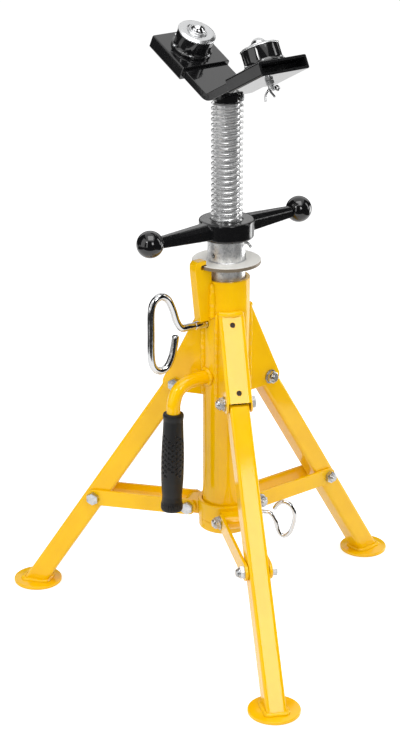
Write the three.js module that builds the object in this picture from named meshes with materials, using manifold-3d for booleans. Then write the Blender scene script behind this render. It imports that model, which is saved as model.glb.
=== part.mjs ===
// Folding pipe jack stand: a three-legged column with a sliding mast, a jack screw
// turned by a two-arm handle nut, and a swivelling V head with two ball transfer units.
// Millimetres, +Z up, standing on z = 0 with the middle of its footprint at the origin.
import * as THREE from 'three';
import { mergeVertices } from 'three/addons/utils/BufferGeometryUtils.js';
import Module from 'manifold-3d';

// Clearances
const WELD_GAP = 0.3; // between pieces that are welded, bolted or seated face to face
const PIVOT_GAP = 0.3; // around a bolt in its hole, on the radius
const SLIDE_GAP = 1.0; // mast in column, on the radius
const COLLAR_GAP = 0.6; // collar on column, on the radius
const SCREW_GAP = 0.5; // screw in mast, on the radius
const NUT_BORE_GAP = 0.4; // screw in handle nut, on the radius

// Jack screw, trapezoidal thread
const SCREW_R = 20;
const THREAD_DEPTH = 3.75;
const THREAD_FLANK = 15; // degrees
const SCREW_PITCH = 7;
const SCREW_INSIDE = 53.7; // plain tail and thread inside the mast
const THREAD_INSIDE = 15.7;
const SCREW_ABOVE = 176.3; // above the mast's top
const TAIL_RELIEF = 1; // tail below the thread's crest, on the radius
const THREAD_STEPS = 12;

// Mast and column, one tube in the other round the screw
const MAST_WALL = 3.65;
const COLUMN_WALL = 5;
const MAST_R = SCREW_R + SCREW_GAP + MAST_WALL;
const COLUMN_R = MAST_R + SLIDE_GAP + COLUMN_WALL;
const COLUMN_BOTTOM = 128;
const COLUMN_LENGTH = 347;
const COLUMN_TOP = COLUMN_BOTTOM + COLUMN_LENGTH;
const STOP_RING_WALL = 4.55;
const STOP_RING_H = 14;
const MAST_INSIDE = 310; // mast below the column's top
const DISC_RISE = 18; // flange disc above the column's top
const DISC_R = 43.8;
const DISC_THICKNESS = 5;
const DISC_NOTCH_PLAY = 1; // each side of the hook plate
const DISC_NOTCH_DEPTH = 6.6;
const MAST_ABOVE = 25.7; // mast above the flange disc
const RIVET_HOLE_R = 3.2;
const RIVET_LEFT_RISE = 8.5; // above the disc
const RIVET_LEFT_AZIMUTH = 226;
const RIVET_RIGHT_RISE = 6;
const RIVET_RIGHT_AZIMUTH = -12;

// Legs: a plane of each leg is named by its azimuth, and r is measured from the column axis
const LEG_AZIMUTHS = { front: -77, right: 43, left: 163 };
const LEG_WIDTH = 26;
const LEG_DEPTH = 28;
const LEG_WALL = 2.5;
const LEG_CORNER = 4;
const PIVOT_STANDOFF = 33.85; // leg pivot from the column's face
const PIVOT_HEIGHT = 326;
const LEG_SPREAD = 212; // how far out the leg's centre line meets the floor, from its pivot
const FOOT_R = 33;
const FOOT_THICKNESS = 4.5;

// Leg brackets, bent from plate, placed about the leg pivot
const BRACKET_PLATE = 3;
const BRACKET_SIDE_GAP = 0.7;
const BRACKET_BELOW = 10;
const BRACKET_RISE = 108;
const BRACKET_SHOULDER = 105;
const BRACKET_WEB_RISE = 6;
const BRACKET_MARGIN = 3; // side plates past the leg's half depth
const BRACKET_CORNER = 10;
const WEB_TOP_LIP = 2; // web's top edge out from the column's face
const BRACKET_HOLE_R = 3.5;
const BRACKET_HOLE_INSET = 13;
const BRACKET_TOP_HOLE_INSET = 11;

// Bolts
const BOLT_R = 5;
const HEX_R = 9.2; // across corners, halved
const HEAD_H = 6.5;
const NUT_H = 8;
const WASHER_R = 10.5;
const WASHER_H = 1.6;
const BOLT_END = 3;

// Collar and braces
const COLLAR_WALL = 5.25;
const COLLAR_H = 24.5;
const LUG_STANDOFF = 16.85; // collar bolt from the column's face
const LUG_RISE = 9.7; // collar bolt above the collar's lower edge
const LUG_R = 9.5;
const BRACE_ALONG = 214; // leg pivot to brace bolt
const STRAP_R = 11;
const STRAP_THICKNESS = 4;
const STRAP_SIDE_GAP = 0.5;

// Lock hook plate over the mast's flange disc
const HOOK_AZIMUTH = 220;
const HOOK_THICKNESS = 13;
const HOOK_DROP = 51; // plate below the column's top
const HOOK_FOOT = 16.85; // plate out from the column's face at its foot
const HOOK_PAST_SLOT = 8.5;
const HOOK_SLOT_CLEAR = 2.7; // slot past the disc's edge
const HOOK_SLOT_PLAY = 0.8;
const HOOK_LIP_CLEAR = 0.8; // lip out from the disc's notch
const HOOK_LIP_H = 5.5;
const HOOK_CHAMFER = 4;
const HOOK_SHOULDER = 12;

// Height pin and the mast's row of holes
const PIN_AZIMUTH = 212;
const PIN_DROP = 59; // below the column's top
const PIN_R = 5.4;
const PIN_ROD_R = 4.7;
const PIN_SHANK = 16.35; // thick shank out from the column's face
const PIN_SUNK = 1; // rod inside the shank
const PIN_TIP_CLEAR = 0.55; // drawn tip out from the mast
const PIN_HOLE_GAP = 0.6;
const MAST_HOLE_PITCH = 45;
const MAST_HOLE_COUNT = 6;

// Leg lock pin on the collar
const LOCK_AZIMUTH = -17;
const LOCK_WIRE_R = 2.9;
const LOCK_TIP_CLEAR = 0.45; // drawn tip out from the column's face
const LOCK_HOLE_GAP = 0.5;

// Carry handle
const CARRY_AZIMUTH = 214;
const CARRY_DROP = 72; // handle's root below the height pin
const CARRY_R = 9;
const CARRY_LEAN = 3.4; // grip's lean outward over its length
const GRIP_WALL = 3.7;
const GRIP_FLARE = 1.4;
const GRIP_LENGTH = 136;
const GRIP_END = 5;
const GRIP_GAP = 0.3;
const GRIP_EDGE = 1; // rounding of the grip's rims
const GRIP_EDGE_H = 3;
const GRIP_LOWER_RIM = 12;
const GRIP_UPPER_RIM = 4;
const GRIP_TAPER = 10; // from rim to body
const GRIP_SIDES = 20;

// Handle nut
const NUT_AZIMUTH = 40;
const HUB_WALL = 15; // hub round the screw
const HUB_FOOT_INSET = 2.5;
const HUB_FOOT_H = 2.5; // bevelled foot below the hub's full size
const HUB_EDGE = 1.4;
const HUB_EDGE_H = 1.6;
const HUB_H = 24.7;
const ARM_CENTRE = 14; // arm axis above the hub's foot
const ARM_SUNK = 7; // arm's root inside the hub
const ARM_LENGTH = 71.5; // past the hub
const ARM_ROOT_SIZE = [25, 20]; // width and height
const ARM_TIP_SIZE = [15, 13];
const KNOB_R = 17;
const KNOB_FLAT = 2; // depth cut off the ball where it meets the arm
const KNOB_STUD_R = 5;
const KNOB_STUD_REACH = 11;
const THRUST_WASHER_LIP = 2.85; // past the mast
const THRUST_WASHER_H = 2;

// Head
const HEAD_AZIMUTH = -50.3;
const VEE_ANGLE = 27.4;
const VEE_RISE = 14; // crease above the screw
const VEE_WIDTH = 67;
const VEE_DEPTH = 10;
const VEE_ARM = 112;
const VEE_BEND = 12; // rounding under the crease, along each arm
const SPIGOT_NECK_INSET = 0.25; // neck inside the thread's core
const SPIGOT_WALL = 4.25; // screw's core round the spigot's pin
const SPIGOT_PIN_LENGTH = 32;
const CARRIER_START = 47;
const CARRIER_LENGTH = 68;
const CARRIER_WALL = 3.5;
const CARRIER_CORNER = 2.5;
const CARRIER_GAP = 0.3;

// Ball transfer unit, measured up from the carrier's top
const UNIT_R = 23.6;
const UNIT_FLANGE_LIP = 2.6;
const UNIT_FLANGE_H = 3;
const UNIT_BODY_H = 22;
const CAP_LIP = 0.8; // cap past the body
const CAP_H = 4;
const CAP_SHOULDER = 2.2;
const CAP_SLOPE = 4.2;
const CAP_FACE = 6.3;
const CAP_DISH = 1.4; // dish round the neck that holds the ball
const CAP_NECK_RISE = 2.6; // neck above the cap's face
const CAP_NECK_WALL = 2.2;
const CAP_NECK_LIP = 1.4;
const BALL_R = 9.6;
const BALL_SINK = 3.2; // ball centre below the neck's top
const BALL_GAP = 0.4;
const STUD_R = 4;
const STUD_DEPTH = 3.7;
const STUD_NUT_R = 6.2;
const STUD_NUT_H = 6.5;
const STUD_END = 6;

// Facets
const ROUND = 28;
const SMALL_ROUND = 12;
const WIRE_SIDES = 8;
const ARC_STEPS = 4;
const DISC_SIDES = 40;
const FOOT_SIDES = 32;
const KNOB_SIDES = 18;
const KNOB_STEPS = 8;
const BALL_SIDES = 14;
const BALL_ROWS = 10;
const CARRY_STEPS = 20;
const LOCK_STEPS = 38;
const PIN_STEPS = 42;

const radians = THREE.MathUtils.degToRad;
const wasm = await Module();
wasm.setup();

// Finishes
function finish(color, roughness, metalness) {
  return new THREE.MeshStandardMaterial({ color, roughness, metalness });
}
const yellowPaint = finish(0xf5b800, 0.4, 0.0);
const galvanised = finish(0x9a9d9e, 0.5, 0.9);
const zinc = finish(0xc4c6c8, 0.35, 1.0);
const chrome = finish(0xdcdee0, 0.12, 1.0);
const blackPaint = finish(0x0b0b0c, 0.25, 0.0);
const blackCast = finish(0x131314, 0.55, 0.2);
const blackKnob = finish(0x080808, 0.15, 0.0);
const blackRubber = finish(0x161617, 0.8, 0.0);

// Closed meshes: shared corners merged, collapsed triangles dropped, faces pointing out
function closed(geometry) {
  const bare = geometry.clone();
  bare.deleteAttribute('normal');
  bare.deleteAttribute('uv');
  const merged = mergeVertices(bare, 1e-4);
  const spots = merged.getAttribute('position');
  const index = merged.getIndex();
  const corners = [];
  const [a, b, c] = [new THREE.Vector3(), new THREE.Vector3(), new THREE.Vector3()];
  let volume = 0;
  for (let i = 0; i < index.count; i += 3) {
    const triangle = [index.getX(i), index.getX(i + 1), index.getX(i + 2)];
    if (new Set(triangle).size < 3) continue;
    corners.push(...triangle);
    a.fromBufferAttribute(spots, triangle[0]);
    b.fromBufferAttribute(spots, triangle[1]);
    c.fromBufferAttribute(spots, triangle[2]);
    volume += a.dot(b.cross(c));
  }
  if (volume < 0) corners.reverse();
  const result = new THREE.BufferGeometry();
  result.setAttribute('position', spots.clone());
  result.setIndex(corners);
  return result;
}

function solidOf(geometry) {
  const mesh = closed(geometry);
  const vertProperties = Float32Array.from(mesh.getAttribute('position').array);
  const triVerts = Uint32Array.from(mesh.getIndex().array);
  return new wasm.Manifold(new wasm.Mesh({ numProp: 3, vertProperties, triVerts }));
}

function geometryOf(solid) {
  const mesh = solid.getMesh();
  const geometry = new THREE.BufferGeometry();
  geometry.setAttribute('position', new THREE.BufferAttribute(Float32Array.from(mesh.vertProperties), 3));
  geometry.setIndex(Array.from(mesh.triVerts));
  return geometry;
}

function joined(...pieces) {
  return geometryOf(pieces.map(solidOf).reduce((whole, piece) => whole.add(piece)));
}

function cut(body, ...tools) {
  return geometryOf(tools.map(solidOf).reduce((rest, tool) => rest.subtract(tool), solidOf(body)));
}

function shared(first, second) {
  return geometryOf(solidOf(first).intersect(solidOf(second)));
}

// Basic forms. A turned form has its axis on Z, a profile is a list of [radius, height].
function turned(profile, sides = ROUND) {
  const points = profile.map(([radius, height]) => new THREE.Vector2(radius, height));
  return new THREE.LatheGeometry(points, sides).rotateX(Math.PI / 2);
}

function rod(radius, from, to, sides = SMALL_ROUND) {
  return turned([[0, from], [radius, from], [radius, to], [0, to]], sides);
}

function ring(inner, outer, from, to, sides = ROUND) {
  return turned([[inner, from], [outer, from], [outer, to], [inner, to], [inner, from]], sides);
}

function hex(radius, from, to) {
  return rod(radius, from, to, 6);
}

function crosswise(geometry) {
  return geometry.rotateX(-Math.PI / 2); // axis from +Z to +Y
}

function outward(geometry) {
  return geometry.rotateY(Math.PI / 2); // axis from +Z to +X
}

function polygon(points) {
  return new THREE.Shape(points.map(([x, y]) => new THREE.Vector2(x, y)));
}

// A shape drawn in radius and height, as a plate centred on its leg's plane
function uprightPlate(shape, thickness) {
  const plate = new THREE.ExtrudeGeometry(shape, {
    depth: thickness,
    bevelEnabled: false,
    curveSegments: ARC_STEPS,
  });
  return plate.translate(0, 0, -thickness / 2).rotateX(Math.PI / 2);
}

function roundedBox(width, height, corner) {
  const [x, y] = [width / 2, height / 2];
  const shape = new THREE.Shape();
  shape.moveTo(-x + corner, -y);
  shape.lineTo(x - corner, -y);
  shape.absarc(x - corner, -y + corner, corner, -Math.PI / 2, 0);
  shape.lineTo(x, y - corner);
  shape.absarc(x - corner, y - corner, corner, 0, Math.PI / 2);
  shape.lineTo(-x + corner, y);
  shape.absarc(-x + corner, y - corner, corner, Math.PI / 2, Math.PI);
  shape.lineTo(-x, -y + corner);
  shape.absarc(-x + corner, -y + corner, corner, Math.PI, 1.5 * Math.PI);
  return shape;
}

function prism(shape, from, to, arcSteps = 2) {
  const options = { depth: to - from, bevelEnabled: false, curveSegments: arcSteps };
  return new THREE.ExtrudeGeometry(shape, options).translate(0, 0, from);
}

function block(x, y, z) {
  const [low, high] = [[x[0], y[0], z[0]], [x[1], y[1], z[1]]];
  const size = high.map((value, axis) => value - low[axis]);
  const centre = high.map((value, axis) => (value + low[axis]) / 2);
  return new THREE.BoxGeometry(...size).translate(...centre);
}

// A round bar along a curve through points given as [radius, height] in an upright plane
function bentBar(points, radius, sides, steps) {
  const route = points.map(([r, z]) => new THREE.Vector3(r, 0, z));
  const path = new THREE.CatmullRomCurve3(route, false, 'centripetal');
  const section = new THREE.Shape().absarc(0, 0, radius, 0, 2 * Math.PI);
  const options = { extrudePath: path, steps, bevelEnabled: false, curveSegments: sides / 2 };
  return new THREE.ExtrudeGeometry(section, options);
}

// A closed form through rings of equally many points, convex at both ends
function loft(rings) {
  const count = rings[0].length;
  const faces = [];
  for (let k = 0; k + 1 < rings.length; k += 1) {
    for (let i = 0; i < count; i += 1) {
      const [a, b] = [k * count + i, k * count + ((i + 1) % count)];
      faces.push(a, b, b + count, a, b + count, a + count);
    }
  }
  const last = (rings.length - 1) * count;
  for (let i = 1; i + 1 < count; i += 1) {
    faces.push(0, i + 1, i, last, last + i, last + i + 1);
  }
  const geometry = new THREE.BufferGeometry();
  geometry.setAttribute('position', new THREE.Float32BufferAttribute(rings.flat(2), 3));
  geometry.setIndex(faces);
  return geometry;
}

// The scene graph
const stand = new THREE.Group();

function azimuthGroup(degrees, parent = stand) {
  const group = new THREE.Group();
  group.rotation.z = radians(degrees);
  parent.add(group);
  return group;
}

function piece(name, geometry, material, parent = stand) {
  const mesh = new THREE.Mesh(closed(geometry), material);
  mesh.name = name;
  parent.add(mesh);
  return mesh;
}

function turnedTo(degrees, geometry) {
  return geometry.rotateZ(radians(degrees));
}

// Column: tube, stop ring and lock hook
const columnBore = COLUMN_R - COLUMN_WALL;
const collarBottom = COLUMN_BOTTOM + STOP_RING_H + WELD_GAP;
const lugHeight = collarBottom + LUG_RISE;
const pinHeight = COLUMN_TOP - PIN_DROP;
const pinHole = PIN_R + PIN_HOLE_GAP;
const lockHole = LOCK_WIRE_R + LOCK_HOLE_GAP;
const pinDrill = () => turnedTo(PIN_AZIMUTH, outward(rod(pinHole, 0, 2 * COLUMN_R)));
const lockDrill = () => turnedTo(LOCK_AZIMUTH, outward(rod(lockHole, 0, 2 * COLUMN_R)));

piece(
  'column_tube',
  cut(
    ring(columnBore, COLUMN_R, COLUMN_BOTTOM, COLUMN_TOP),
    pinDrill().translate(0, 0, pinHeight),
    lockDrill().translate(0, 0, lugHeight),
  ),
  yellowPaint,
);

const stopRingBore = COLUMN_R + WELD_GAP;
piece(
  'stop_ring',
  ring(stopRingBore, stopRingBore + STOP_RING_WALL, COLUMN_BOTTOM, COLUMN_BOTTOM + STOP_RING_H),
  yellowPaint,
);

const discBottom = COLUMN_TOP + DISC_RISE;
const discTop = discBottom + DISC_THICKNESS;
const notchRadius = DISC_R - DISC_NOTCH_DEPTH;
const hookBottom = COLUMN_TOP - HOOK_DROP;
function hookShape() {
  const slotBottom = discBottom - WELD_GAP;
  const slotTop = discTop + HOOK_SLOT_PLAY;
  const slotRound = (slotTop - slotBottom) / 2;
  const top = slotTop + HOOK_LIP_H;
  const foot = COLUMN_R - COLUMN_WALL;
  const slotDepth = DISC_R + HOOK_SLOT_CLEAR;
  const reach = slotDepth + HOOK_PAST_SLOT;
  const lip = notchRadius + HOOK_LIP_CLEAR;
  const shape = polygon([
    [foot, hookBottom],
    [COLUMN_R + HOOK_FOOT, hookBottom],
    [reach, top - HOOK_SHOULDER],
    [reach, top - HOOK_CHAMFER],
    [reach - HOOK_CHAMFER, top],
    [lip, top],
    [lip, slotTop],
  ]);
  shape.lineTo(slotDepth - slotRound, slotTop);
  shape.absarc(slotDepth - slotRound, slotBottom + slotRound, slotRound, Math.PI / 2, -Math.PI / 2, true);
  shape.lineTo(foot, slotBottom);
  return shape;
}
const hookSeat = () => rod(COLUMN_R + WELD_GAP, 0, 2 * COLUMN_TOP, ROUND);
const hookPlate = cut(uprightPlate(hookShape(), HOOK_THICKNESS), hookSeat());
piece('lock_hook', hookPlate, yellowPaint, azimuthGroup(HOOK_AZIMUTH));

// Carry handle: a bent tube off the column with a rubber grip over its hanging end
// Points out from the column's face and up from the handle's root
const CARRY_ROUTE = [[-10.15, 0], [11.85, 0], [30.85, -2.5], [43.85, -11], [49.45, -25], [50.45, -39]];
const carryHeight = pinHeight - CARRY_DROP;
const carryRoute = CARRY_ROUTE.map(([out, up]) => [COLUMN_R + out, carryHeight + up]);
const carryGroup = azimuthGroup(CARRY_AZIMUTH);
const gripTop = carryRoute[carryRoute.length - 1];
const gripTilt = Math.atan2(CARRY_LEAN, GRIP_LENGTH);
const carryReach = GRIP_LENGTH - GRIP_END - WELD_GAP;
const carryEnd = [gripTop[0] + carryReach * Math.sin(gripTilt), gripTop[1] - carryReach * Math.cos(gripTilt)];
const carryTube = bentBar([...carryRoute, carryEnd], CARRY_R, SMALL_ROUND, CARRY_STEPS);
const columnSeat = rod(COLUMN_R + WELD_GAP, COLUMN_BOTTOM, COLUMN_TOP, ROUND);
piece('carry_handle', cut(carryTube, columnSeat), yellowPaint, carryGroup);

const gripBore = CARRY_R + GRIP_GAP;
const gripR = gripBore + GRIP_WALL;
const gripProfile = [
  [0, -GRIP_LENGTH],
  [gripR - GRIP_EDGE, -GRIP_LENGTH],
  [gripR + GRIP_FLARE, GRIP_EDGE_H - GRIP_LENGTH],
  [gripR + GRIP_FLARE, GRIP_LOWER_RIM - GRIP_LENGTH],
  [gripR, GRIP_LOWER_RIM + GRIP_TAPER - GRIP_LENGTH],
  [gripR, -GRIP_UPPER_RIM - GRIP_TAPER],
  [gripR + GRIP_FLARE, -GRIP_UPPER_RIM],
  [gripR - GRIP_EDGE, 0],
  [gripBore, 0],
  [gripBore, GRIP_END - GRIP_LENGTH],
  [0, GRIP_END - GRIP_LENGTH],
];
const grip = turned(gripProfile, GRIP_SIDES).rotateY(-gripTilt).translate(gripTop[0], 0, gripTop[1]);
piece('handle_grip', grip, blackRubber, carryGroup);

// Bolts: head on +Y, nut on -Y, between two faces
const boltHole = BOLT_R + PIVOT_GAP;

function bolt(halfWidth) {
  const nutFace = -halfWidth - WELD_GAP;
  const headFace = halfWidth + WELD_GAP;
  const tip = nutFace - WASHER_H - NUT_H - BOLT_END;
  return crosswise(joined(rod(BOLT_R, tip, headFace + HEAD_H / 2), hex(HEX_R, headFace, headFace + HEAD_H)));
}

function nutWithWasher(halfWidth) {
  const face = -halfWidth - WELD_GAP;
  const washer = rod(WASHER_R, face - WASHER_H, face);
  const nut = hex(HEX_R, face - WASHER_H - NUT_H, face - WASHER_H / 2);
  return crosswise(cut(joined(washer, nut), rod(boltHole, face - NUT_H - 2 * WASHER_H, face + 1)));
}

function drill(halfWidth) {
  return crosswise(rod(boltHole, -halfWidth, halfWidth));
}

// Legs and their brackets
const pivotRadius = COLUMN_R + PIVOT_STANDOFF;
const lugRadius = COLUMN_R + LUG_STANDOFF;
const spreadRadius = pivotRadius + LEG_SPREAD;
const legAngle = Math.atan2(LEG_SPREAD, PIVOT_HEIGHT);
const bracketInner = LEG_WIDTH / 2 + BRACKET_SIDE_GAP;
const bracketOuter = bracketInner + BRACKET_PLATE;

function legTube() {
  const length = PIVOT_HEIGHT / Math.cos(legAngle) + LEG_DEPTH;
  const half = LEG_DEPTH / 2;
  const side = new THREE.Shape();
  side.moveTo(-half, -length);
  side.lineTo(half, -length);
  side.lineTo(half, 0);
  side.absarc(0, 0, half, 0, Math.PI);
  const outline = uprightPlate(side, 2 * LEG_WIDTH);
  const tube = shared(prism(roundedBox(LEG_DEPTH, LEG_WIDTH, LEG_CORNER), -length, LEG_DEPTH), outline);
  const hollowCorner = Math.max(LEG_CORNER - LEG_WALL, 0.5);
  const hollow = roundedBox(LEG_DEPTH - 2 * LEG_WALL, LEG_WIDTH - 2 * LEG_WALL, hollowCorner);
  const braceDrill = drill(LEG_WIDTH).translate(0, 0, -BRACE_ALONG);
  const bored = cut(tube, prism(hollow, -2 * length, 2 * LEG_DEPTH), drill(LEG_WIDTH), braceDrill);
  const placed = bored.rotateY(-legAngle).translate(pivotRadius, 0, PIVOT_HEIGHT);
  const reach = 2 * spreadRadius;
  const floorCut = block([-reach, reach], [-LEG_WIDTH, LEG_WIDTH], [-reach, FOOT_THICKNESS + WELD_GAP]);
  return cut(placed, floorCut);
}

const footRadius = spreadRadius - FOOT_THICKNESS * Math.tan(legAngle);
function footPlate() {
  const bevel = FOOT_THICKNESS / 4;
  const profile = [
    [0, 0],
    [FOOT_R - bevel, 0],
    [FOOT_R, bevel],
    [FOOT_R, FOOT_THICKNESS - bevel],
    [FOOT_R - bevel, FOOT_THICKNESS],
    [0, FOOT_THICKNESS],
  ];
  return turned(profile, FOOT_SIDES).translate(footRadius, 0, 0);
}

const bracketReach = pivotRadius + LEG_DEPTH / 2 + BRACKET_MARGIN;
const bracketBottom = PIVOT_HEIGHT - BRACKET_BELOW;
const bracketTop = PIVOT_HEIGHT + BRACKET_RISE;
const webBottom = PIVOT_HEIGHT + BRACKET_WEB_RISE;
const webTop = [COLUMN_R + WEB_TOP_LIP, PIVOT_HEIGHT + BRACKET_SHOULDER];
const webFoot = [bracketReach, webBottom];
const webAngle = Math.atan2(webFoot[0] - webTop[0], webTop[1] - webFoot[1]);

function bracketOutline() {
  const shape = polygon([[0, bracketBottom], [bracketReach - BRACKET_CORNER, bracketBottom]]);
  const corner = [bracketReach - BRACKET_CORNER, bracketBottom + BRACKET_CORNER];
  shape.absarc(corner[0], corner[1], BRACKET_CORNER, -Math.PI / 2, 0);
  shape.lineTo(webFoot[0], webFoot[1]);
  shape.lineTo(webTop[0], webTop[1]);
  shape.lineTo(COLUMN_R - BRACKET_PLATE, bracketTop);
  shape.lineTo(0, bracketTop);
  return shape;
}

function bracketHollow() {
  const inset = BRACKET_PLATE / Math.cos(webAngle);
  const climb = (webFoot[0] - inset) / Math.tan(webAngle);
  return polygon([
    [-BRACKET_PLATE, 0],
    [2 * bracketReach, 0],
    [2 * bracketReach, webBottom],
    [webFoot[0] - inset, webBottom],
    [0, webBottom + climb],
    [-BRACKET_PLATE, webBottom + climb],
  ]);
}

// A hole square through the sloping web, some way along it from its foot
function webDrill(along) {
  const hole = outward(rod(BRACKET_HOLE_R, -3 * BRACKET_PLATE, 3 * BRACKET_PLATE)).rotateY(-webAngle);
  const spot = [webFoot[0] - along * Math.sin(webAngle), webFoot[1] + along * Math.cos(webAngle)];
  return hole.translate(spot[0], 0, spot[1]);
}

const webLength = Math.hypot(webFoot[0] - webTop[0], webTop[1] - webFoot[1]);
function legBracket() {
  return cut(
    uprightPlate(bracketOutline(), 2 * bracketOuter),
    uprightPlate(bracketHollow(), 2 * bracketInner),
    rod(COLUMN_R + WELD_GAP, 0, 2 * bracketTop, ROUND),
    drill(2 * bracketOuter).translate(pivotRadius, 0, PIVOT_HEIGHT),
    webDrill(BRACKET_HOLE_INSET),
    webDrill(webLength - BRACKET_TOP_HOLE_INSET),
  );
}

// Braces: two straps from the collar lug to the leg, and a brace bolt in two halves on the straps
const strapInner = LEG_WIDTH / 2 + STRAP_SIDE_GAP;
const strapOuter = strapInner + STRAP_THICKNESS;
const braceFoot = [
  pivotRadius + BRACE_ALONG * Math.sin(legAngle),
  PIVOT_HEIGHT - BRACE_ALONG * Math.cos(legAngle),
];
const braceLength = Math.hypot(braceFoot[0] - lugRadius, braceFoot[1] - lugHeight);
const braceSlope = Math.atan2(braceFoot[1] - lugHeight, braceFoot[0] - lugRadius);

function strap(side) {
  const shape = new THREE.Shape();
  shape.absarc(0, 0, STRAP_R, Math.PI / 2, 1.5 * Math.PI);
  shape.lineTo(braceLength, -STRAP_R);
  shape.absarc(braceLength, 0, STRAP_R, -Math.PI / 2, Math.PI / 2);
  const holes = [0, braceLength].map((along) => drill(STRAP_THICKNESS).translate(along, 0, 0));
  const bar = cut(uprightPlate(shape, STRAP_THICKNESS), ...holes);
  const offset = side * (strapInner + STRAP_THICKNESS / 2);
  return bar.rotateY(-braceSlope).translate(lugRadius, offset, lugHeight);
}

function braceBoltHead() {
  const face = strapOuter + WELD_GAP;
  const half = joined(rod(BOLT_R, strapInner + WELD_GAP, face + HEAD_H / 2), hex(HEX_R, face, face + HEAD_H));
  return crosswise(half).translate(braceFoot[0], 0, braceFoot[1]);
}

function braceBoltNut() {
  const face = -strapOuter - WELD_GAP;
  const shank = rod(BOLT_R, face - NUT_H - BOLT_END, -strapInner - WELD_GAP);
  return crosswise(joined(shank, hex(HEX_R, face - NUT_H, face))).translate(braceFoot[0], 0, braceFoot[1]);
}

for (const [leg, azimuth] of Object.entries(LEG_AZIMUTHS)) {
  const group = azimuthGroup(azimuth);
  piece(`leg_bracket_${leg}`, legBracket(), yellowPaint, group);
  const pivotBolt = bolt(bracketOuter).translate(pivotRadius, 0, PIVOT_HEIGHT);
  const pivotNut = nutWithWasher(bracketOuter).translate(pivotRadius, 0, PIVOT_HEIGHT);
  piece(`leg_pivot_bolt_${leg}`, pivotBolt, zinc, group);
  piece(`leg_pivot_nut_${leg}`, pivotNut, zinc, group);
  piece(`leg_tube_${leg}`, legTube(), yellowPaint, group);
  piece(`foot_plate_${leg}`, footPlate(), yellowPaint, group);
  piece(`strap_${leg}_a`, strap(1), yellowPaint, group);
  piece(`strap_${leg}_b`, strap(-1), yellowPaint, group);
  piece(`brace_bolt_head_${leg}`, braceBoltHead(), zinc, group);
  piece(`brace_bolt_nut_${leg}`, braceBoltNut(), zinc, group);
  piece(`collar_bolt_${leg}`, bolt(strapOuter).translate(lugRadius, 0, lugHeight), zinc, group);
  piece(`collar_nut_${leg}`, nutWithWasher(strapOuter).translate(lugRadius, 0, lugHeight), zinc, group);
}

// Collar: a ring with three lugs, sliding on the column above the stop ring
const collarTop = collarBottom + COLLAR_H;
function lug(azimuth) {
  const shape = new THREE.Shape();
  shape.moveTo(COLUMN_R, lugHeight - LUG_R);
  shape.lineTo(lugRadius, lugHeight - LUG_R);
  shape.absarc(lugRadius, lugHeight, LUG_R, -Math.PI / 2, Math.PI / 2);
  shape.lineTo(COLUMN_R, lugHeight + LUG_R);
  const width = 2 * (strapInner - WELD_GAP);
  return turnedTo(azimuth, cut(uprightPlate(shape, width), drill(width).translate(lugRadius, 0, lugHeight)));
}
const collarBlank = joined(
  ring(COLUMN_R, COLUMN_R + COLLAR_GAP + COLLAR_WALL, collarBottom, collarTop),
  ...Object.values(LEG_AZIMUTHS).map(lug),
);
const collarBore = rod(COLUMN_R + COLLAR_GAP, collarBottom - LUG_R, collarTop + LUG_R, ROUND);
piece('collar', cut(collarBlank, collarBore, lockDrill().translate(0, 0, lugHeight)), yellowPaint);

// Leg lock pin: a wire bent into a finger loop, its tip in the collar's hole
// Points out from the column's face and up from the collar's hole
const LOCK_ROUTE = [
  [9.85, 0], [21.85, 0], [31.85, -1], [38.85, -10], [42.85, -23], [47.85, -30.5], [53.85, -30.5],
  [60.35, -23],
  [64.85, -7], [64.85, 4], [59.85, 14], [49.85, 18], [41.85, 13], [37.35, 6],
];
const lockRoute = [[LOCK_TIP_CLEAR, 0], ...LOCK_ROUTE].map(([out, up]) => [COLUMN_R + out, lugHeight + up]);
const lockWire = bentBar(lockRoute, LOCK_WIRE_R, WIRE_SIDES, LOCK_STEPS);
piece('leg_lock_pin', lockWire, chrome, azimuthGroup(LOCK_AZIMUTH));

// Mast: tube with its row of pin holes, flange disc, thrust washer
const mastBore = MAST_R - MAST_WALL;
const mastTop = discTop + MAST_ABOVE;
const mastHoles = Array.from({ length: MAST_HOLE_COUNT }, (_, k) => {
  return pinDrill().translate(0, 0, pinHeight - k * MAST_HOLE_PITCH);
});
function rivetHole(azimuth, rise) {
  return turnedTo(azimuth, outward(rod(RIVET_HOLE_R, 0, 2 * MAST_R))).translate(0, 0, discTop + rise);
}
const rivetHoles = [
  rivetHole(RIVET_LEFT_AZIMUTH, RIVET_LEFT_RISE),
  rivetHole(RIVET_RIGHT_AZIMUTH, RIVET_RIGHT_RISE),
];
const mastBlank = ring(mastBore, MAST_R, COLUMN_TOP - MAST_INSIDE, mastTop);
piece('mast_tube', cut(mastBlank, ...mastHoles, ...rivetHoles), galvanised);

const notchHalf = HOOK_THICKNESS / 2 + DISC_NOTCH_PLAY;
const notchReach = [notchRadius, 2 * DISC_R];
const notchRise = [discBottom - DISC_THICKNESS, discTop + DISC_THICKNESS];
const notch = block(notchReach, [-notchHalf, notchHalf], notchRise);
piece(
  'flange_disc',
  cut(ring(MAST_R + WELD_GAP, DISC_R, discBottom, discTop, DISC_SIDES), turnedTo(HOOK_AZIMUTH, notch)),
  galvanised,
);

const nutBore = SCREW_R + NUT_BORE_GAP;
const washerBottom = mastTop + WELD_GAP;
const washerTop = washerBottom + THRUST_WASHER_H;
piece('thrust_washer', ring(nutBore, MAST_R + THRUST_WASHER_LIP, washerBottom, washerTop), zinc);

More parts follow.
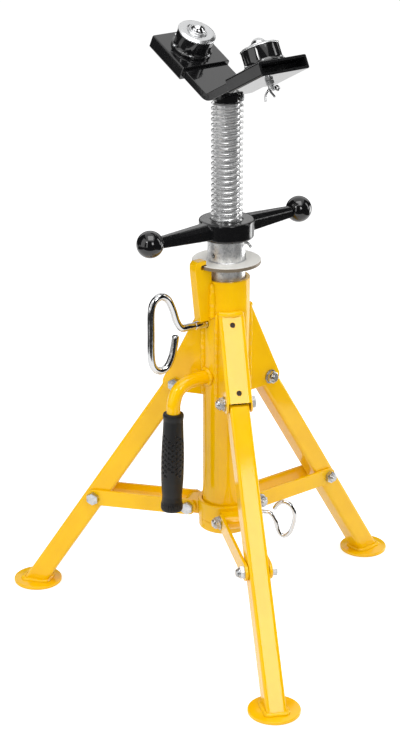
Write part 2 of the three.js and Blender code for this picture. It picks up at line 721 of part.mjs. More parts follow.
// Height pin: a thick shank in the column's hole, on a rod bent into a long loop
// Points out from the shank's shoulder and up from its axis
const PIN_ROUTE = [
  [9.5, 0], [19.5, 0.5], [26.5, 10], [32.5, 28], [39.5, 42], [49.5, 47.5], [59, 42], [63.3, 29],
  [63.8, -1], [63.8, -30], [60, -45], [50.5, -51.5], [40.5, -47.5], [34, -36], [30, -21], [28.9, -13],
];
const pinShoulder = COLUMN_R + PIN_SHANK;
const pinRoute = [[-PIN_SUNK, 0], ...PIN_ROUTE].map(([out, up]) => [pinShoulder + out, pinHeight + up]);
const pinRod = bentBar(pinRoute, PIN_ROD_R, WIRE_SIDES, PIN_STEPS);
const pinShank = outward(rod(PIN_R, MAST_R + PIN_TIP_CLEAR, pinShoulder)).translate(0, 0, pinHeight);
piece('height_pin', joined(pinShank, pinRod), chrome, azimuthGroup(PIN_AZIMUTH));

// Handle nut: a hub with two tapering arms, each ending in a stud for its knob
const hubBottom = washerTop + WELD_GAP;
const hubR = SCREW_R + HUB_WALL;
const armTip = hubR + ARM_LENGTH;
const knobRadius = armTip + KNOB_R - KNOB_FLAT;
const nutGroup = azimuthGroup(NUT_AZIMUTH);
nutGroup.position.z = hubBottom;

function armSection(x, width, height) {
  const [y, z, bevel] = [width / 2, height / 2, height / 3];
  const outline = [[-y, -z], [y, -z], [y, z - bevel], [y - bevel, z], [bevel - y, z], [-y, z - bevel]];
  return outline.map(([across, up]) => [x, across, ARM_CENTRE + up]);
}

function nutArm() {
  const taper = loft([armSection(hubR - ARM_SUNK, ...ARM_ROOT_SIZE), armSection(armTip, ...ARM_TIP_SIZE)]);
  const studRod = rod(KNOB_STUD_R, armTip - KNOB_R, armTip + KNOB_STUD_REACH);
  const stud = outward(studRod).translate(0, 0, ARM_CENTRE);
  return joined(taper, stud);
}

const hubProfile = [
  [0, 0],
  [hubR - HUB_FOOT_INSET, 0],
  [hubR, HUB_FOOT_H],
  [hubR, HUB_H - HUB_EDGE_H],
  [hubR - HUB_EDGE, HUB_H],
  [0, HUB_H],
];
const handleNut = cut(
  joined(turned(hubProfile), nutArm(), nutArm().rotateZ(Math.PI)),
  rod(nutBore, -HUB_H, 2 * HUB_H, ROUND),
);
piece('handle_nut', handleNut, blackCast, nutGroup);

function knob() {
  const hole = KNOB_STUD_R + PIVOT_GAP;
  const flat = armTip + WELD_GAP - knobRadius;
  const depth = armTip + KNOB_STUD_REACH + WELD_GAP - knobRadius;
  const start = Math.asin(flat / KNOB_R);
  const profile = [[0, depth], [hole, depth], [hole, flat]];
  for (let k = 0; k < KNOB_STEPS; k += 1) {
    const turn = start + ((Math.PI / 2 - start) * k) / KNOB_STEPS;
    profile.push([KNOB_R * Math.cos(turn), KNOB_R * Math.sin(turn)]);
  }
  profile.push([0, KNOB_R]);
  return outward(turned(profile, KNOB_SIDES)).translate(knobRadius, 0, ARM_CENTRE);
}
piece('knob_right', knob(), blackKnob, nutGroup);
piece('knob_left', knob().rotateZ(Math.PI), blackKnob, nutGroup);

// Jack screw: a right-hand trapezoidal thread swept as one helical skin, trimmed to its length
const screwCore = SCREW_R - THREAD_DEPTH;
const screwTop = mastTop + SCREW_ABOVE;
function threadSkin(from, turns) {
  const flank = THREAD_DEPTH * Math.tan(radians(THREAD_FLANK));
  const land = SCREW_PITCH / 2 - flank;
  const profile = [
    [screwCore, 0],
    [screwCore, land],
    [SCREW_R, land + flank],
    [SCREW_R, SCREW_PITCH - flank],
  ];
  const width = profile.length;
  const rows = THREAD_STEPS * (turns + 1) + 1;
  const spots = [];
  for (let i = 0; i < rows; i += 1) {
    const turn = (2 * Math.PI * i) / THREAD_STEPS;
    for (const [radius, rise] of profile) {
      const height = from + rise + (SCREW_PITCH * i) / THREAD_STEPS;
      spots.push(radius * Math.cos(turn), radius * Math.sin(turn), height);
    }
  }
  const at = (i, j) => (j < width ? i * width + j : (i + THREAD_STEPS) * width);
  const faces = [];
  const covered = rows - 1 - THREAD_STEPS;
  for (let i = 0; i < covered; i += 1) {
    for (let j = 0; j < width; j += 1) {
      faces.push(at(i, j), at(i + 1, j), at(i + 1, j + 1), at(i, j), at(i + 1, j + 1), at(i, j + 1));
    }
  }
  // The two open ends, each a turn of helix and one profile, drawn in to a point on the axis
  const lowPoint = spots.length / 3;
  spots.push(0, 0, from - SCREW_PITCH);
  const highPoint = lowPoint + 1;
  spots.push(0, 0, from + SCREW_PITCH * (turns + 3));
  for (let k = 0; k < THREAD_STEPS; k += 1) {
    faces.push(at(k, 0), lowPoint, at(k + 1, 0));
    faces.push(at(covered + k, 0), at(covered + k + 1, 0), highPoint);
  }
  for (let j = 0; j < width; j += 1) {
    faces.push(at(0, j + 1), lowPoint, at(0, j));
    faces.push(at(covered, j), highPoint, at(covered, j + 1));
  }
  const geometry = new THREE.BufferGeometry();
  geometry.setAttribute('position', new THREE.Float32BufferAttribute(spots, 3));
  geometry.setIndex(faces);
  return geometry;
}

const spigotPinR = screwCore - SPIGOT_WALL;
const spigotBore = spigotPinR + PIVOT_GAP;
function jackScrew() {
  const threadBottom = mastTop - THREAD_INSIDE;
  const turns = Math.ceil((screwTop - threadBottom) / SCREW_PITCH) + 2;
  const skin = threadSkin(threadBottom - 2 * SCREW_PITCH, turns);
  const threaded = shared(skin, rod(SCREW_R + 1, threadBottom, screwTop, ROUND));
  const tail = rod(SCREW_R - TAIL_RELIEF, mastTop - SCREW_INSIDE, threadBottom + SCREW_PITCH / 2, ROUND);
  const blank = joined(threaded, tail);
  const socketBottom = screwTop - SPIGOT_PIN_LENGTH - 2 * WELD_GAP;
  return cut(blank, rod(spigotBore, socketBottom, screwTop + SCREW_PITCH, ROUND));
}
piece('jack_screw', jackScrew(), zinc);

// Head: a thick bar bent to a vee on a spigot, with a slip-on carrier and a ball unit on each arm
const headGroup = azimuthGroup(HEAD_AZIMUTH);
const veeAngle = radians(VEE_ANGLE);
const veeCrease = screwTop + VEE_RISE;

// The bar's section across the vee, between two depths under its top face, rounded below by a bend
function veeBand(top, bottom, reach, bend = 0) {
  const drop = (depth) => depth / Math.cos(veeAngle);
  const arm = (depth, along) => [
    along * Math.cos(veeAngle) + depth * Math.sin(veeAngle),
    veeCrease + along * Math.sin(veeAngle) - depth * Math.cos(veeAngle),
  ];
  const [upper, lower] = [arm(top, reach), arm(bottom, reach)];
  const shape = polygon([
    [-upper[0], upper[1]],
    [0, veeCrease - drop(top)],
    upper,
    lower,
  ]);
  const start = arm(bottom, bend - bottom * Math.tan(veeAngle));
  shape.lineTo(start[0], start[1]);
  if (bend > 0) shape.quadraticCurveTo(0, veeCrease - drop(bottom), -start[0], start[1]);
  shape.lineTo(-lower[0], lower[1]);
  return shape;
}

const unitAlong = CARRIER_START + CARRIER_LENGTH / 2;
const studHole = STUD_R + PIVOT_GAP;
const carrierRise = CARRIER_GAP + CARRIER_WALL;
const carrierDrop = -VEE_DEPTH - carrierRise;

function onArm(geometry) {
  return geometry.rotateY(-veeAngle).translate(0, 0, veeCrease);
}
const studDrill = () => onArm(rod(studHole, 2 * carrierDrop, UNIT_BODY_H).translate(unitAlong, 0, 0));

const veeChannel = cut(
  uprightPlate(veeBand(0, VEE_DEPTH, VEE_ARM, VEE_BEND), VEE_WIDTH),
  studDrill(),
  studDrill().rotateZ(Math.PI),
);
piece('vee_channel', veeChannel, blackPaint, headGroup);

const spigotFoot = screwTop + WELD_GAP;
const spigotNeckR = screwCore - SPIGOT_NECK_INSET;
const spigotBlank = turned([
  [0, spigotFoot - SPIGOT_PIN_LENGTH],
  [spigotPinR, spigotFoot - SPIGOT_PIN_LENGTH],
  [spigotPinR, spigotFoot],
  [spigotNeckR, spigotFoot],
  [spigotNeckR, veeCrease + spigotNeckR],
  [0, veeCrease + spigotNeckR],
]);
const veeSeat = uprightPlate(veeBand(-4 * VEE_DEPTH, VEE_DEPTH + WELD_GAP, VEE_ARM, VEE_BEND), VEE_WIDTH);
piece('head_spigot', cut(spigotBlank, veeSeat), blackPaint, headGroup);

function carrier() {
  const inner = [VEE_DEPTH + 2 * CARRIER_GAP, VEE_WIDTH + 2 * CARRIER_GAP];
  const outer = inner.map((size) => size + 2 * CARRIER_WALL);
  const end = CARRIER_START + CARRIER_LENGTH;
  const sleeve = prism(roundedBox(outer[0], outer[1], CARRIER_CORNER), CARRIER_START, end);
  const hollow = block([-inner[0] / 2, inner[0] / 2], [-inner[1] / 2, inner[1] / 2], [0, 2 * end]);
  return onArm(outward(cut(sleeve, hollow)).translate(0, 0, -VEE_DEPTH / 2));
}

// Ball unit forms, on their own axis from the carrier's top
const capTop = UNIT_BODY_H + CAP_H;
const capR = UNIT_R + CAP_LIP;
const lipTop = capTop + CAP_NECK_RISE;
const ballCentre = lipTop - BALL_SINK;
const pocketR = BALL_R + BALL_GAP;
function ballHousing() {
  const socket = STUD_DEPTH + WELD_GAP;
  return turned([
    [0, socket],
    [studHole, socket],
    [studHole, 0],
    [UNIT_R + UNIT_FLANGE_LIP, 0],
    [UNIT_R + UNIT_FLANGE_LIP, UNIT_FLANGE_H],
    [UNIT_R, UNIT_FLANGE_H],
    [UNIT_R, UNIT_BODY_H],
    [pocketR, UNIT_BODY_H],
    [pocketR, ballCentre - BALL_R - BALL_GAP],
    [0, ballCentre - BALL_R - BALL_GAP],
  ]);
}

// The cap's neck closes in over the ball, so its bore follows the ball's section
function neckBore(height) {
  const reach = height - ballCentre;
  return Math.sqrt(BALL_R * BALL_R - reach * reach) + BALL_GAP / 2;
}

function ballCap() {
  const bottom = UNIT_BODY_H + WELD_GAP;
  const lipBottom = lipTop - CAP_NECK_LIP;
  const neckR = neckBore(lipTop) + CAP_NECK_WALL;
  return turned([
    [pocketR, bottom],
    [capR, bottom],
    [capR, capTop - CAP_SHOULDER],
    [capR - CAP_SLOPE, capTop],
    [capR - CAP_SLOPE - CAP_FACE, capTop],
    [neckR, capTop - CAP_DISH],
    [neckR, lipTop],
    [neckBore(lipTop), lipTop],
    [neckBore(lipBottom), lipBottom],
    [pocketR, lipBottom],
    [pocketR, bottom],
  ]);
}

function ballStud() {
  const nutTop = carrierDrop - WELD_GAP;
  const nutBottom = nutTop - STUD_NUT_H;
  const top = carrierRise + WELD_GAP + STUD_DEPTH;
  return joined(rod(STUD_R, nutBottom - STUD_END, top), hex(STUD_NUT_R, nutBottom, nutTop));
}

function unitPart(geometry) {
  return onArm(geometry.translate(unitAlong, 0, carrierRise + WELD_GAP));
}

for (const [side, turn] of [['right', 0], ['left', 180]]) {
  const arm = azimuthGroup(turn, headGroup);
  piece(`carrier_${side}`, cut(carrier(), studDrill()), blackPaint, arm);
  piece(`ball_housing_${side}`, unitPart(ballHousing()), blackPaint, arm);
  piece(`ball_cap_${side}`, unitPart(ballCap()), chrome, arm);
  const ball = new THREE.SphereGeometry(BALL_R, BALL_SIDES, BALL_ROWS).translate(0, 0, ballCentre);
  piece(`ball_${side}`, unitPart(ball), chrome, arm);
  piece(`ball_stud_${side}`, onArm(ballStud().translate(unitAlong, 0, 0)), zinc, arm);
}

// The origin: the middle of the footprint's box, on the floor
function footprintMiddle() {
  const feet = Object.values(LEG_AZIMUTHS).map((azimuth) => radians(azimuth));
  const spots = feet.map((turn) => [footRadius * Math.cos(turn), footRadius * Math.sin(turn)]);
  return [0, 1].map((axis) => {
    const values = spots.map((spot) => spot[axis]);
    return (Math.min(...values) + Math.max(...values)) / 2;
  });
}
const [middleX, middleY] = footprintMiddle();
stand.position.set(-middleX, -middleY, 0);

const part = new THREE.Group();
part.add(stand);
export default part;
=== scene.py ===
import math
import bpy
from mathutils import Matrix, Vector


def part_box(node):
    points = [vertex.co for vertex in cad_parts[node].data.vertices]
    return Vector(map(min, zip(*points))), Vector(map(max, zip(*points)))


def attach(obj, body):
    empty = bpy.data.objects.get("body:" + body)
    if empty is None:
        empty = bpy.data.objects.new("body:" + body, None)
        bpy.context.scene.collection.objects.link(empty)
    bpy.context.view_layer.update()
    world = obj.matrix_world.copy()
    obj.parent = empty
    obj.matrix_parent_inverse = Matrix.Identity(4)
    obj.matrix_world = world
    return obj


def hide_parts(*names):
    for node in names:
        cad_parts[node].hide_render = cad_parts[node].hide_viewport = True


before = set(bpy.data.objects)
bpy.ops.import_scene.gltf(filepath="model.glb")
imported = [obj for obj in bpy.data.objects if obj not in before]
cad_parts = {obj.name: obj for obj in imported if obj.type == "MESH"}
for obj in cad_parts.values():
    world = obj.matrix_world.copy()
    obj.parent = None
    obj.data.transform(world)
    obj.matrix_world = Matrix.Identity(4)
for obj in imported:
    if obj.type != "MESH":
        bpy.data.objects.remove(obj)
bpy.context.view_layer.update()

# %% [markdown]
# This lesson dresses a folding pipe jack stand: three legs, a column, a sliding mast, a jack
# screw with a two-arm handle nut, and a V head with ball rollers. The frame gives every piece
# its place, so each form is drawn in millimetres about the column's axis and set down with one
# matrix. That keeps the numbers readable, because they are the sizes a maker would measure.

# %% Shared frame
from types import SimpleNamespace

import bmesh
import bpy
from mathutils import Matrix, Vector

MM = 0.001
mast_low, mast_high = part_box("mast_tube")
AXIS = (mast_low + mast_high) / 2
COLUMN = Matrix.Translation((AXIS.x, AXIS.y, 0)) @ Matrix.Scale(MM, 4)


def spun(azimuth):
    """A turn about the upright axis, in degrees."""
    return Matrix.Rotation(math.radians(azimuth), 4, "Z")


def facing(azimuth):
    """Column axis frame in millimetres, with x pointing out at an azimuth in degrees."""
    return COLUMN @ spun(azimuth)


def azimuth_of(node):
    low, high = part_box(node)
    middle = (low + high) / 2 - AXIS
    return math.degrees(math.atan2(middle.y, middle.x))


LEGS = {leg: azimuth_of(f"foot_plate_{leg}") for leg in ("front", "right", "left")}
print("column axis", [round(v, 4) for v in AXIS], "legs at", {k: round(v) for k, v in LEGS.items()})

# %% [markdown]
# Almost every piece here is turned on a lathe, cut from plate, or bent from bar, so a handful
# of small mesh makers covers them all. They could be modifiers on simple curves, but plain
# lists of points are easier to check. Two helpers come first: one turns points and faces into
# a clean mesh, and one rounds the corners of a line, because no real edge is perfectly sharp.

# %% Meshes and soft corners
SMOOTH_ANGLE = math.radians(32)
WELD_DISTANCE = 1e-5
CORNER_SHARE = 0.48


def mesh_from(form):
    """A new mesh from an edited form, which is then let go."""
    mesh = bpy.data.meshes.new("form")
    form.to_mesh(mesh)
    form.free()
    return mesh


def mesh_of(verts, faces):
    """A mesh with its faces pointing out."""
    mesh = bpy.data.meshes.new("form")
    mesh.from_pydata([tuple(v) for v in verts], [], faces)
    form = bmesh.new()
    form.from_mesh(mesh)
    bmesh.ops.remove_doubles(form, verts=form.verts, dist=WELD_DISTANCE)
    bmesh.ops.recalc_face_normals(form, faces=form.faces)
    form.to_mesh(mesh)
    form.free()
    return mesh


def bend_between(start, corner, end, steps):
    """Points of a smooth bend that leaves one side and joins the other."""
    shares = [k / steps for k in range(steps + 1)]
    return [start * (1 - t) ** 2 + corner * (2 * t * (1 - t)) + end * t ** 2 for t in shares]


def softened(points, radius, steps=4, closed=False):
    """A line of points with each corner rounded by about a radius."""
    points = [Vector(p) for p in points]
    count = len(points)
    result = []
    for i, corner in enumerate(points):
        if not closed and i in (0, count - 1):
            result.append(corner)
            continue
        before, after = points[i - 1] - corner, points[(i + 1) % count] - corner
        reach = min(radius, before.length * CORNER_SHARE, after.length * CORNER_SHARE)
        start, end = corner + before.normalized() * reach, corner + after.normalized() * reach
        result += bend_between(start, corner, end, steps)
    return result


print("a softened square has", len(softened([(0, 0), (9, 0), (9, 9), (0, 9)], 1, closed=True)), "points")

# %% [markdown]
# A turned form spins a profile of radius and height about the axis. Blender's Screw modifier
# does the same, but here the profile may end on the axis, and then one point closes the end
# instead of a ring of points in the same place. A tube and a rod are its two commonest cases.

# %% Turned forms
SIDES = 96
ON_AXIS = 1e-6


def ring_turns(sides):
    return [2 * math.pi * k / sides for k in range(sides)]


def lathe(profile, sides=SIDES):
    """Spins (radius, height) points about z. A profile closes on itself or ends on the axis."""
    verts, rows, faces = [], [], []
    for radius, height in profile:
        ring = []
        for turn in ring_turns(sides)[:1 if radius < ON_AXIS else sides]:
            ring.append(len(verts))
            verts.append((radius * math.cos(turn), radius * math.sin(turn), height))
        rows.append(ring)
    for low, high in zip(rows, rows[1:]):
        for k in range(sides):
            quad = [low[k % len(low)], low[(k + 1) % len(low)]]
            quad += [high[(k + 1) % len(high)], high[k % len(high)]]
            corners = list(dict.fromkeys(quad))
            if len(corners) > 2:
                faces.append(corners)
    return mesh_of(verts, faces)


def closed_lathe(corners, edge, steps, sides=SIDES):
    """Spins a closed section with softened corners."""
    profile = softened(corners, edge, steps, closed=True)
    return lathe(profile + profile[:1], sides)


def tube(inner, outer, low, high, edge=0.6, sides=SIDES):
    """A turned ring with rounded edges."""
    return closed_lathe([(inner, low), (outer, low), (outer, high), (inner, high)], edge, 3, sides)


def rod(radius, low, high, edge=0.0, sides=SIDES):
    profile = [(0, low), (radius, low), (radius, high), (0, high)]
    return lathe(softened(profile, edge, 3) if edge else profile, sides)


print("a turned ring has", SIDES, "sides")

# %% [markdown]
# Plate is cut to an outline and has a thickness. The outline is one face, pushed through and
# then bevelled along its sharp edges, since sheared or flame-cut steel always has a small round
# there that catches the light. Arcs and rounded boxes draw the outlines.

# %% Plates and outlines
EDGE_STEPS = 3


def bevelled(form, edges, size, steps=EDGE_STEPS):
    bmesh.ops.bevel(form, geom=edges, offset=size, segments=steps, profile=0.5, affect="EDGES")


def plate(outline, thickness, edge=0.6):
    """An outline in x and z pushed through a thickness along y, its edges rounded."""
    form = bmesh.new()
    face = form.faces.new([form.verts.new((x, -thickness / 2, z)) for x, z in outline])
    pushed = bmesh.ops.extrude_face_region(form, geom=[face])
    far_side = [v for v in pushed["geom"] if isinstance(v, bmesh.types.BMVert)]
    bmesh.ops.translate(form, verts=far_side, vec=(0, thickness, 0))
    bmesh.ops.recalc_face_normals(form, faces=form.faces)
    if edge:
        bevelled(form, [e for e in form.edges if e.calc_face_angle(0) > SMOOTH_ANGLE], edge)
    return mesh_from(form)


def box_outline(left, right, half):
    return [(left, -half), (right, -half), (right, half), (left, half)]


def rounded_box(width, height, corner, steps=6):
    return softened(box_outline(-width / 2, width / 2, height / 2), corner, steps, closed=True)


def arc(centre, radius, start, end, steps=16):
    """Points round part of a circle, with angles in degrees."""
    turns = [math.radians(start + (end - start) * k / steps) for k in range(steps + 1)]
    return [(centre[0] + radius * math.cos(a), centre[1] + radius * math.sin(a)) for a in turns]


def lofted(low_ring, high_ring):
    """A closed skin between two rings with the same number of points."""
    count = len(low_ring)
    faces = [list(range(count)), list(range(count, 2 * count))]
    faces += [[k, (k + 1) % count, count + (k + 1) % count, count + k] for k in range(count)]
    return mesh_of([*low_ring, *high_ring], faces)


def prism(outline, low, high):
    """An outline in x and y pushed up along z."""
    return lofted([(x, y, low) for x, y in outline], [(x, y, high) for x, y in outline])


print("a rounded box has", len(rounded_box(20, 10, 2)), "points")

# %% [markdown]
# The pins, the carry handle and the weld beads are round bars that follow a route. A curve
# object with a bevel would do, but a swept ring gives a mesh at once and lets the radius change
# along the way. The route passes smoothly through a few given points.

# %% Bent bars
def smooth_route(points, steps):
    """Catmull-Rom points through a given route."""
    points = [Vector(p) for p in points]
    padded = [2 * points[0] - points[1], *points, 2 * points[-1] - points[-2]]
    route = []
    for a, b, c, d in zip(padded, padded[1:], padded[2:], padded[3:]):
        for k in range(steps):
            t = k / steps
            spot = 2 * b + (c - a) * t + (2 * a - 5 * b + 4 * c - d) * t * t
            route.append((spot + (3 * b - a - 3 * c + d) * t ** 3) / 2)
    return route + [points[-1]]


def sweep(route, radius, sides=20, closed=False):
    """A round bar along a route. The radius is a number, or a function of the step."""
    size = radius if callable(radius) else (lambda step: radius)
    count = len(route)
    verts, faces = [], []
    up = None
    for i, spot in enumerate(route):
        ahead = route[(i + 1) % count] if closed or i + 1 < count else spot
        behind = route[i - 1] if closed or i > 0 else spot
        along = (ahead - behind).normalized()
        if up is None:
            up = along.orthogonal().normalized()
        up = (up - along * up.dot(along)).normalized()
        side = along.cross(up)
        for turn in ring_turns(sides):
            verts.append(spot + (up * math.cos(turn) + side * math.sin(turn)) * size(i))
    for i in range(count if closed else count - 1):
        here, there = i * sides, (i + 1) % count * sides
        for k in range(sides):
            after = (k + 1) % sides
            faces.append([here + k, here + after, there + after, there + k])
    if not closed:
        faces.append(list(range(sides)))
        faces.append([(count - 1) * sides + k for k in range(sides)])
    return mesh_of(verts, faces)


print("bar bender ready")

# %% [markdown]
# Forms are drawn about a handy axis, then turned and moved to their place. An object's own
# location and rotation could do that, but moving the points keeps every piece in plain sizes,
# and a mirrored copy gets its faces turned the right way out again.

# %% Moving
def moved(mesh, matrix):
    result = mesh.copy()
    result.transform(matrix)
    if matrix.determinant() < 0:
        result.flip_normals()
    return result


def lying(mesh):
    """Turns a form's axis from z to x."""
    return moved(mesh, Matrix.Rotation(math.pi / 2, 4, "Y"))


def across(mesh):
    """Turns a form's axis from z to y."""
    return moved(mesh, Matrix.Rotation(-math.pi / 2, 4, "X"))


def set_at(mesh, x=0.0, y=0.0, z=0.0):
    return moved(mesh, Matrix.Translation((x, y, z)))


print("a turn by 90 degrees takes x to", [round(v) for v in spun(90) @ Vector((1, 0, 0))])

# %% [markdown]
# Holes and seats are cut with exact booleans, as a drill or a hole saw would cut them, and the
# same tool joins a casting's parts or keeps what lies inside a blank. The modifiers are settled
# into a plain mesh at once, so no helper object stays behind in the scene.

# %% Cutting and joining
def linked(name, data):
    """A new object in the scene."""
    thing = bpy.data.objects.new(name, data)
    bpy.context.scene.collection.objects.link(thing)
    return thing


def settled(blank):
    """The mesh of an object after its modifiers."""
    bpy.context.view_layer.update()
    view = bpy.context.evaluated_depsgraph_get()
    return bpy.data.meshes.new_from_object(blank.evaluated_get(view))


def worked(mesh, *tools, how="DIFFERENCE"):
    """The mesh cut by, joined to or kept inside each tool in turn."""
    blank = linked("blank", mesh)
    helpers = [linked("tool", tool) for tool in tools]
    for helper in helpers:
        step = blank.modifiers.new("work", "BOOLEAN")
        step.operation = how
        step.solver = "EXACT"
        step.object = helper
    result = settled(blank)
    for spent in [blank, *helpers]:
        bpy.data.objects.remove(spent)
    return result


def together(*meshes):
    """Several separate forms as one piece."""
    form = bmesh.new()
    for mesh in meshes:
        form.from_mesh(mesh)
    return mesh_from(form)


print("cutting tools ready")

# %% [markdown]
# Setting a piece down is the same every time: scale it into the frame, give it its finish,
# shade it smooth up to a crease angle, and tell the frame which body it rides on and which
# solids it stands for. Weighted normals keep flats flat.

# %% Setting a piece down
def add(name, mesh, place, finish, body, stands_for=(), flats=False):
    """Sets a form down in the frame, gives it its finish and lets it ride on its body."""
    mesh = moved(mesh, place)
    mesh.name = name
    mesh.materials.clear()
    mesh.materials.append(finish)
    mesh.shade_smooth()
    mesh.set_sharp_from_angle(angle=SMOOTH_ANGLE)
    piece = linked(name, mesh)
    if flats:
        piece.modifiers.new("keep flats flat", "WEIGHTED_NORMAL").keep_sharp = True
    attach(piece, body)
    if stands_for:
        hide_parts(*stands_for)
    return piece


print("creases at", round(math.degrees(SMOOTH_ANGLE)), "degrees")

# %% [markdown]
# The finishes come next: yellow powder coat, black gloss paint, black paint over a rough
# casting, galvanised tube, bright zinc, chrome, moulded plastic and rubber. Each is one
# Principled shader. Noise in object space drives small changes of colour and roughness and a
# little bump, because a perfectly even surface is what gives a render away.

# %% Finish maker
def new_paint(name, colour, **values):
    """A new material with its shader's plain values set straight on the sockets."""
    material = bpy.data.materials.new(name)
    material.use_nodes = True
    nodes, links = material.node_tree.nodes, material.node_tree.links
    shader = nodes["Principled BSDF"]
    shader.inputs["Base Color"].default_value = (*colour, 1)
    for socket, value in values.items():
        shader.inputs[socket.replace("_", " ")].default_value = value
    return SimpleNamespace(material=material, nodes=nodes, links=links, shader=shader)


def finish_of(name, colour, **values):
    """A paint with object coordinates, ready for detail."""
    paint = new_paint(name, colour, **{"Coat_Roughness": 0.05, **values})
    paint.place = paint.nodes.new("ShaderNodeTexCoord").outputs["Object"]
    return paint


def noise(paint, per_metre, detail=3.0, roughness=0.5):
    texture = paint.nodes.new("ShaderNodeTexNoise")
    texture.inputs["Scale"].default_value = per_metre
    texture.inputs["Detail"].default_value = detail
    texture.inputs["Roughness"].default_value = roughness
    paint.links.new(paint.place, texture.inputs["Vector"])
    return texture.outputs["Fac"]


def ramp(paint, socket, value, low, high):
    """Drives a socket between two stops. A stop is (position, colour) or (position, grey)."""
    node = paint.nodes.new("ShaderNodeValToRGB")
    for element, (position, colour) in zip(node.color_ramp.elements, (low, high)):
        element.position = position
        grey = isinstance(colour, (int, float))
        element.color = (colour, colour, colour, 1) if grey else (*colour, 1)
    paint.links.new(value, node.inputs["Fac"])
    paint.links.new(node.outputs["Color"], paint.shader.inputs[socket])


def bump(paint, height, depth_mm, coat=False):
    """Raises the skin, and the clear coat with it where there is one."""
    node = paint.nodes.new("ShaderNodeBump")
    node.inputs["Strength"].default_value = 1.0
    node.inputs["Distance"].default_value = depth_mm * MM
    paint.links.new(height, node.inputs["Height"])
    for socket in ("Normal", "Coat Normal") if coat else ("Normal",):
        paint.links.new(node.outputs["Normal"], paint.shader.inputs[socket])


print("finish maker ready")

# %% [markdown]
# Powder coat on the real stand is a warm, glossy yellow with a fine orange-peel skin, and that
# skin is what breaks up the edge of every reflection. Broad noise moves the yellow and its
# gloss a little, and a soft millimetre ripple raises both the paint and its clear coat.

# %% Yellow powder coat
YELLOW = (0.905, 0.52, 0.0)
YELLOW_THIN = (0.875, 0.485, 0.0)


def yellow_finish():
    paint = finish_of("yellow_powder_coat", YELLOW, Coat_Weight=0.6, Coat_Roughness=0.03,
                      Specular_IOR_Level=0.1)
    ramp(paint, "Base Color", noise(paint, 35.0), (0.35, YELLOW_THIN), (0.62, YELLOW))
    ramp(paint, "Roughness", noise(paint, 90.0), (0.3, 0.16), (0.7, 0.24))
    bump(paint, noise(paint, 420.0, 2.0), 0.035, coat=True)
    return paint.material


yellow = yellow_finish()
print("made", yellow.name)

# %% [markdown]
# The head is sprayed with black gloss enamel. Black paint shows almost nothing of its own
# colour, only what it reflects, so the coat is strong and smooth and the skin has the faintest
# ripple. The handle nut is the same paint over a sand casting: there the grain of the mould
# comes through, so its bump is coarse and its sparkle is broken.

# %% Black paints
def gloss_black_finish():
    paint = finish_of("gloss_black_enamel", (0.006, 0.006, 0.0065), Coat_Weight=1.0, Coat_IOR=1.6,
                      Specular_IOR_Level=0.15)
    ramp(paint, "Roughness", noise(paint, 60.0), (0.3, 0.12), (0.7, 0.2))
    bump(paint, noise(paint, 260.0, 2.0), 0.012, coat=True)
    return paint.material


def cast_black_finish():
    paint = finish_of("black_sand_casting", (0.005, 0.005, 0.0055), Coat_Weight=0.55,
                      Specular_IOR_Level=0.2)
    ramp(paint, "Roughness", noise(paint, 300.0), (0.3, 0.16), (0.7, 0.28))
    bump(paint, noise(paint, 330.0, 4.0, 0.55), 0.06, coat=True)
    return paint.material


gloss_black = gloss_black_finish()
cast_black = cast_black_finish()
print("made", gloss_black.name, "and", cast_black.name)

# %% [markdown]
# The mast is hot-dip galvanised: zinc crystals leave a mottled grey spangle. Cells from a
# Voronoi texture give the spangle, and fine noise roughens it. The flange disc is plainer steel,
# browned with rust along the edge where it was cut. The shader finds that edge from the way each
# face points, so every face that does not point up turns brown: rust on the cut edge, and
# painted shade on the underside.

# %% Galvanised steel and disc steel
def galvanised_finish():
    paint = finish_of("galvanised_steel", (0.8, 0.81, 0.82), Metallic=0.85)
    spangle = paint.nodes.new("ShaderNodeTexVoronoi")
    spangle.inputs["Scale"].default_value = 420.0
    paint.links.new(paint.place, spangle.inputs["Vector"])
    cells = paint.nodes.new("ShaderNodeSeparateColor")
    paint.links.new(spangle.outputs["Color"], cells.inputs["Color"])
    ramp(paint, "Base Color", cells.outputs["Red"], (0.0, (0.62, 0.63, 0.64)), (1.0, (0.92, 0.92, 0.915)))
    ramp(paint, "Roughness", noise(paint, 220.0), (0.25, 0.3), (0.75, 0.42))
    bump(paint, noise(paint, 900.0), 0.03)
    return paint.material


def disc_finish():
    paint = finish_of("disc_steel_rust_and_painted_shade", (0.6, 0.59, 0.56), Metallic=0.3)
    surface = paint.nodes.new("ShaderNodeNewGeometry")
    faces = paint.nodes.new("ShaderNodeSeparateXYZ")
    paint.links.new(surface.outputs["Normal"], faces.inputs["Vector"])
    # Faces that do not point up turn dark brown: rust on the cut rim, painted shade on the underside.
    ramp(paint, "Base Color", faces.outputs["Z"], (0.3, (0.2, 0.16, 0.11)), (0.75, (0.9, 0.885, 0.835)))
    ramp(paint, "Roughness", noise(paint, 300.0), (0.3, 0.35), (0.7, 0.55))
    bump(paint, noise(paint, 700.0), 0.05)
    return paint.material


galvanised = galvanised_finish()
disc_steel = disc_finish()
print("made", galvanised.name, "and", disc_steel.name)

# %% [markdown]
# The bolts are bright zinc, cleaner and shinier than the mast, and the jack screw is paler
# still under its film of oil. One maker with four settings gives both. The pins and balls are
# chrome, which is all reflection, so only its roughness varies; the caps are satin.

# %% Zinc and chrome
def zinc_finish(name, dull, bright, smoothest, metallic):
    paint = finish_of(name, bright, Metallic=metallic)
    patches = noise(paint, 160.0, 4.0)
    ramp(paint, "Base Color", patches, (0.3, dull), (0.65, bright))
    ramp(paint, "Roughness", patches, (0.3, smoothest + 0.12), (0.7, smoothest))
    bump(paint, noise(paint, 900.0), 0.005)
    return paint.material


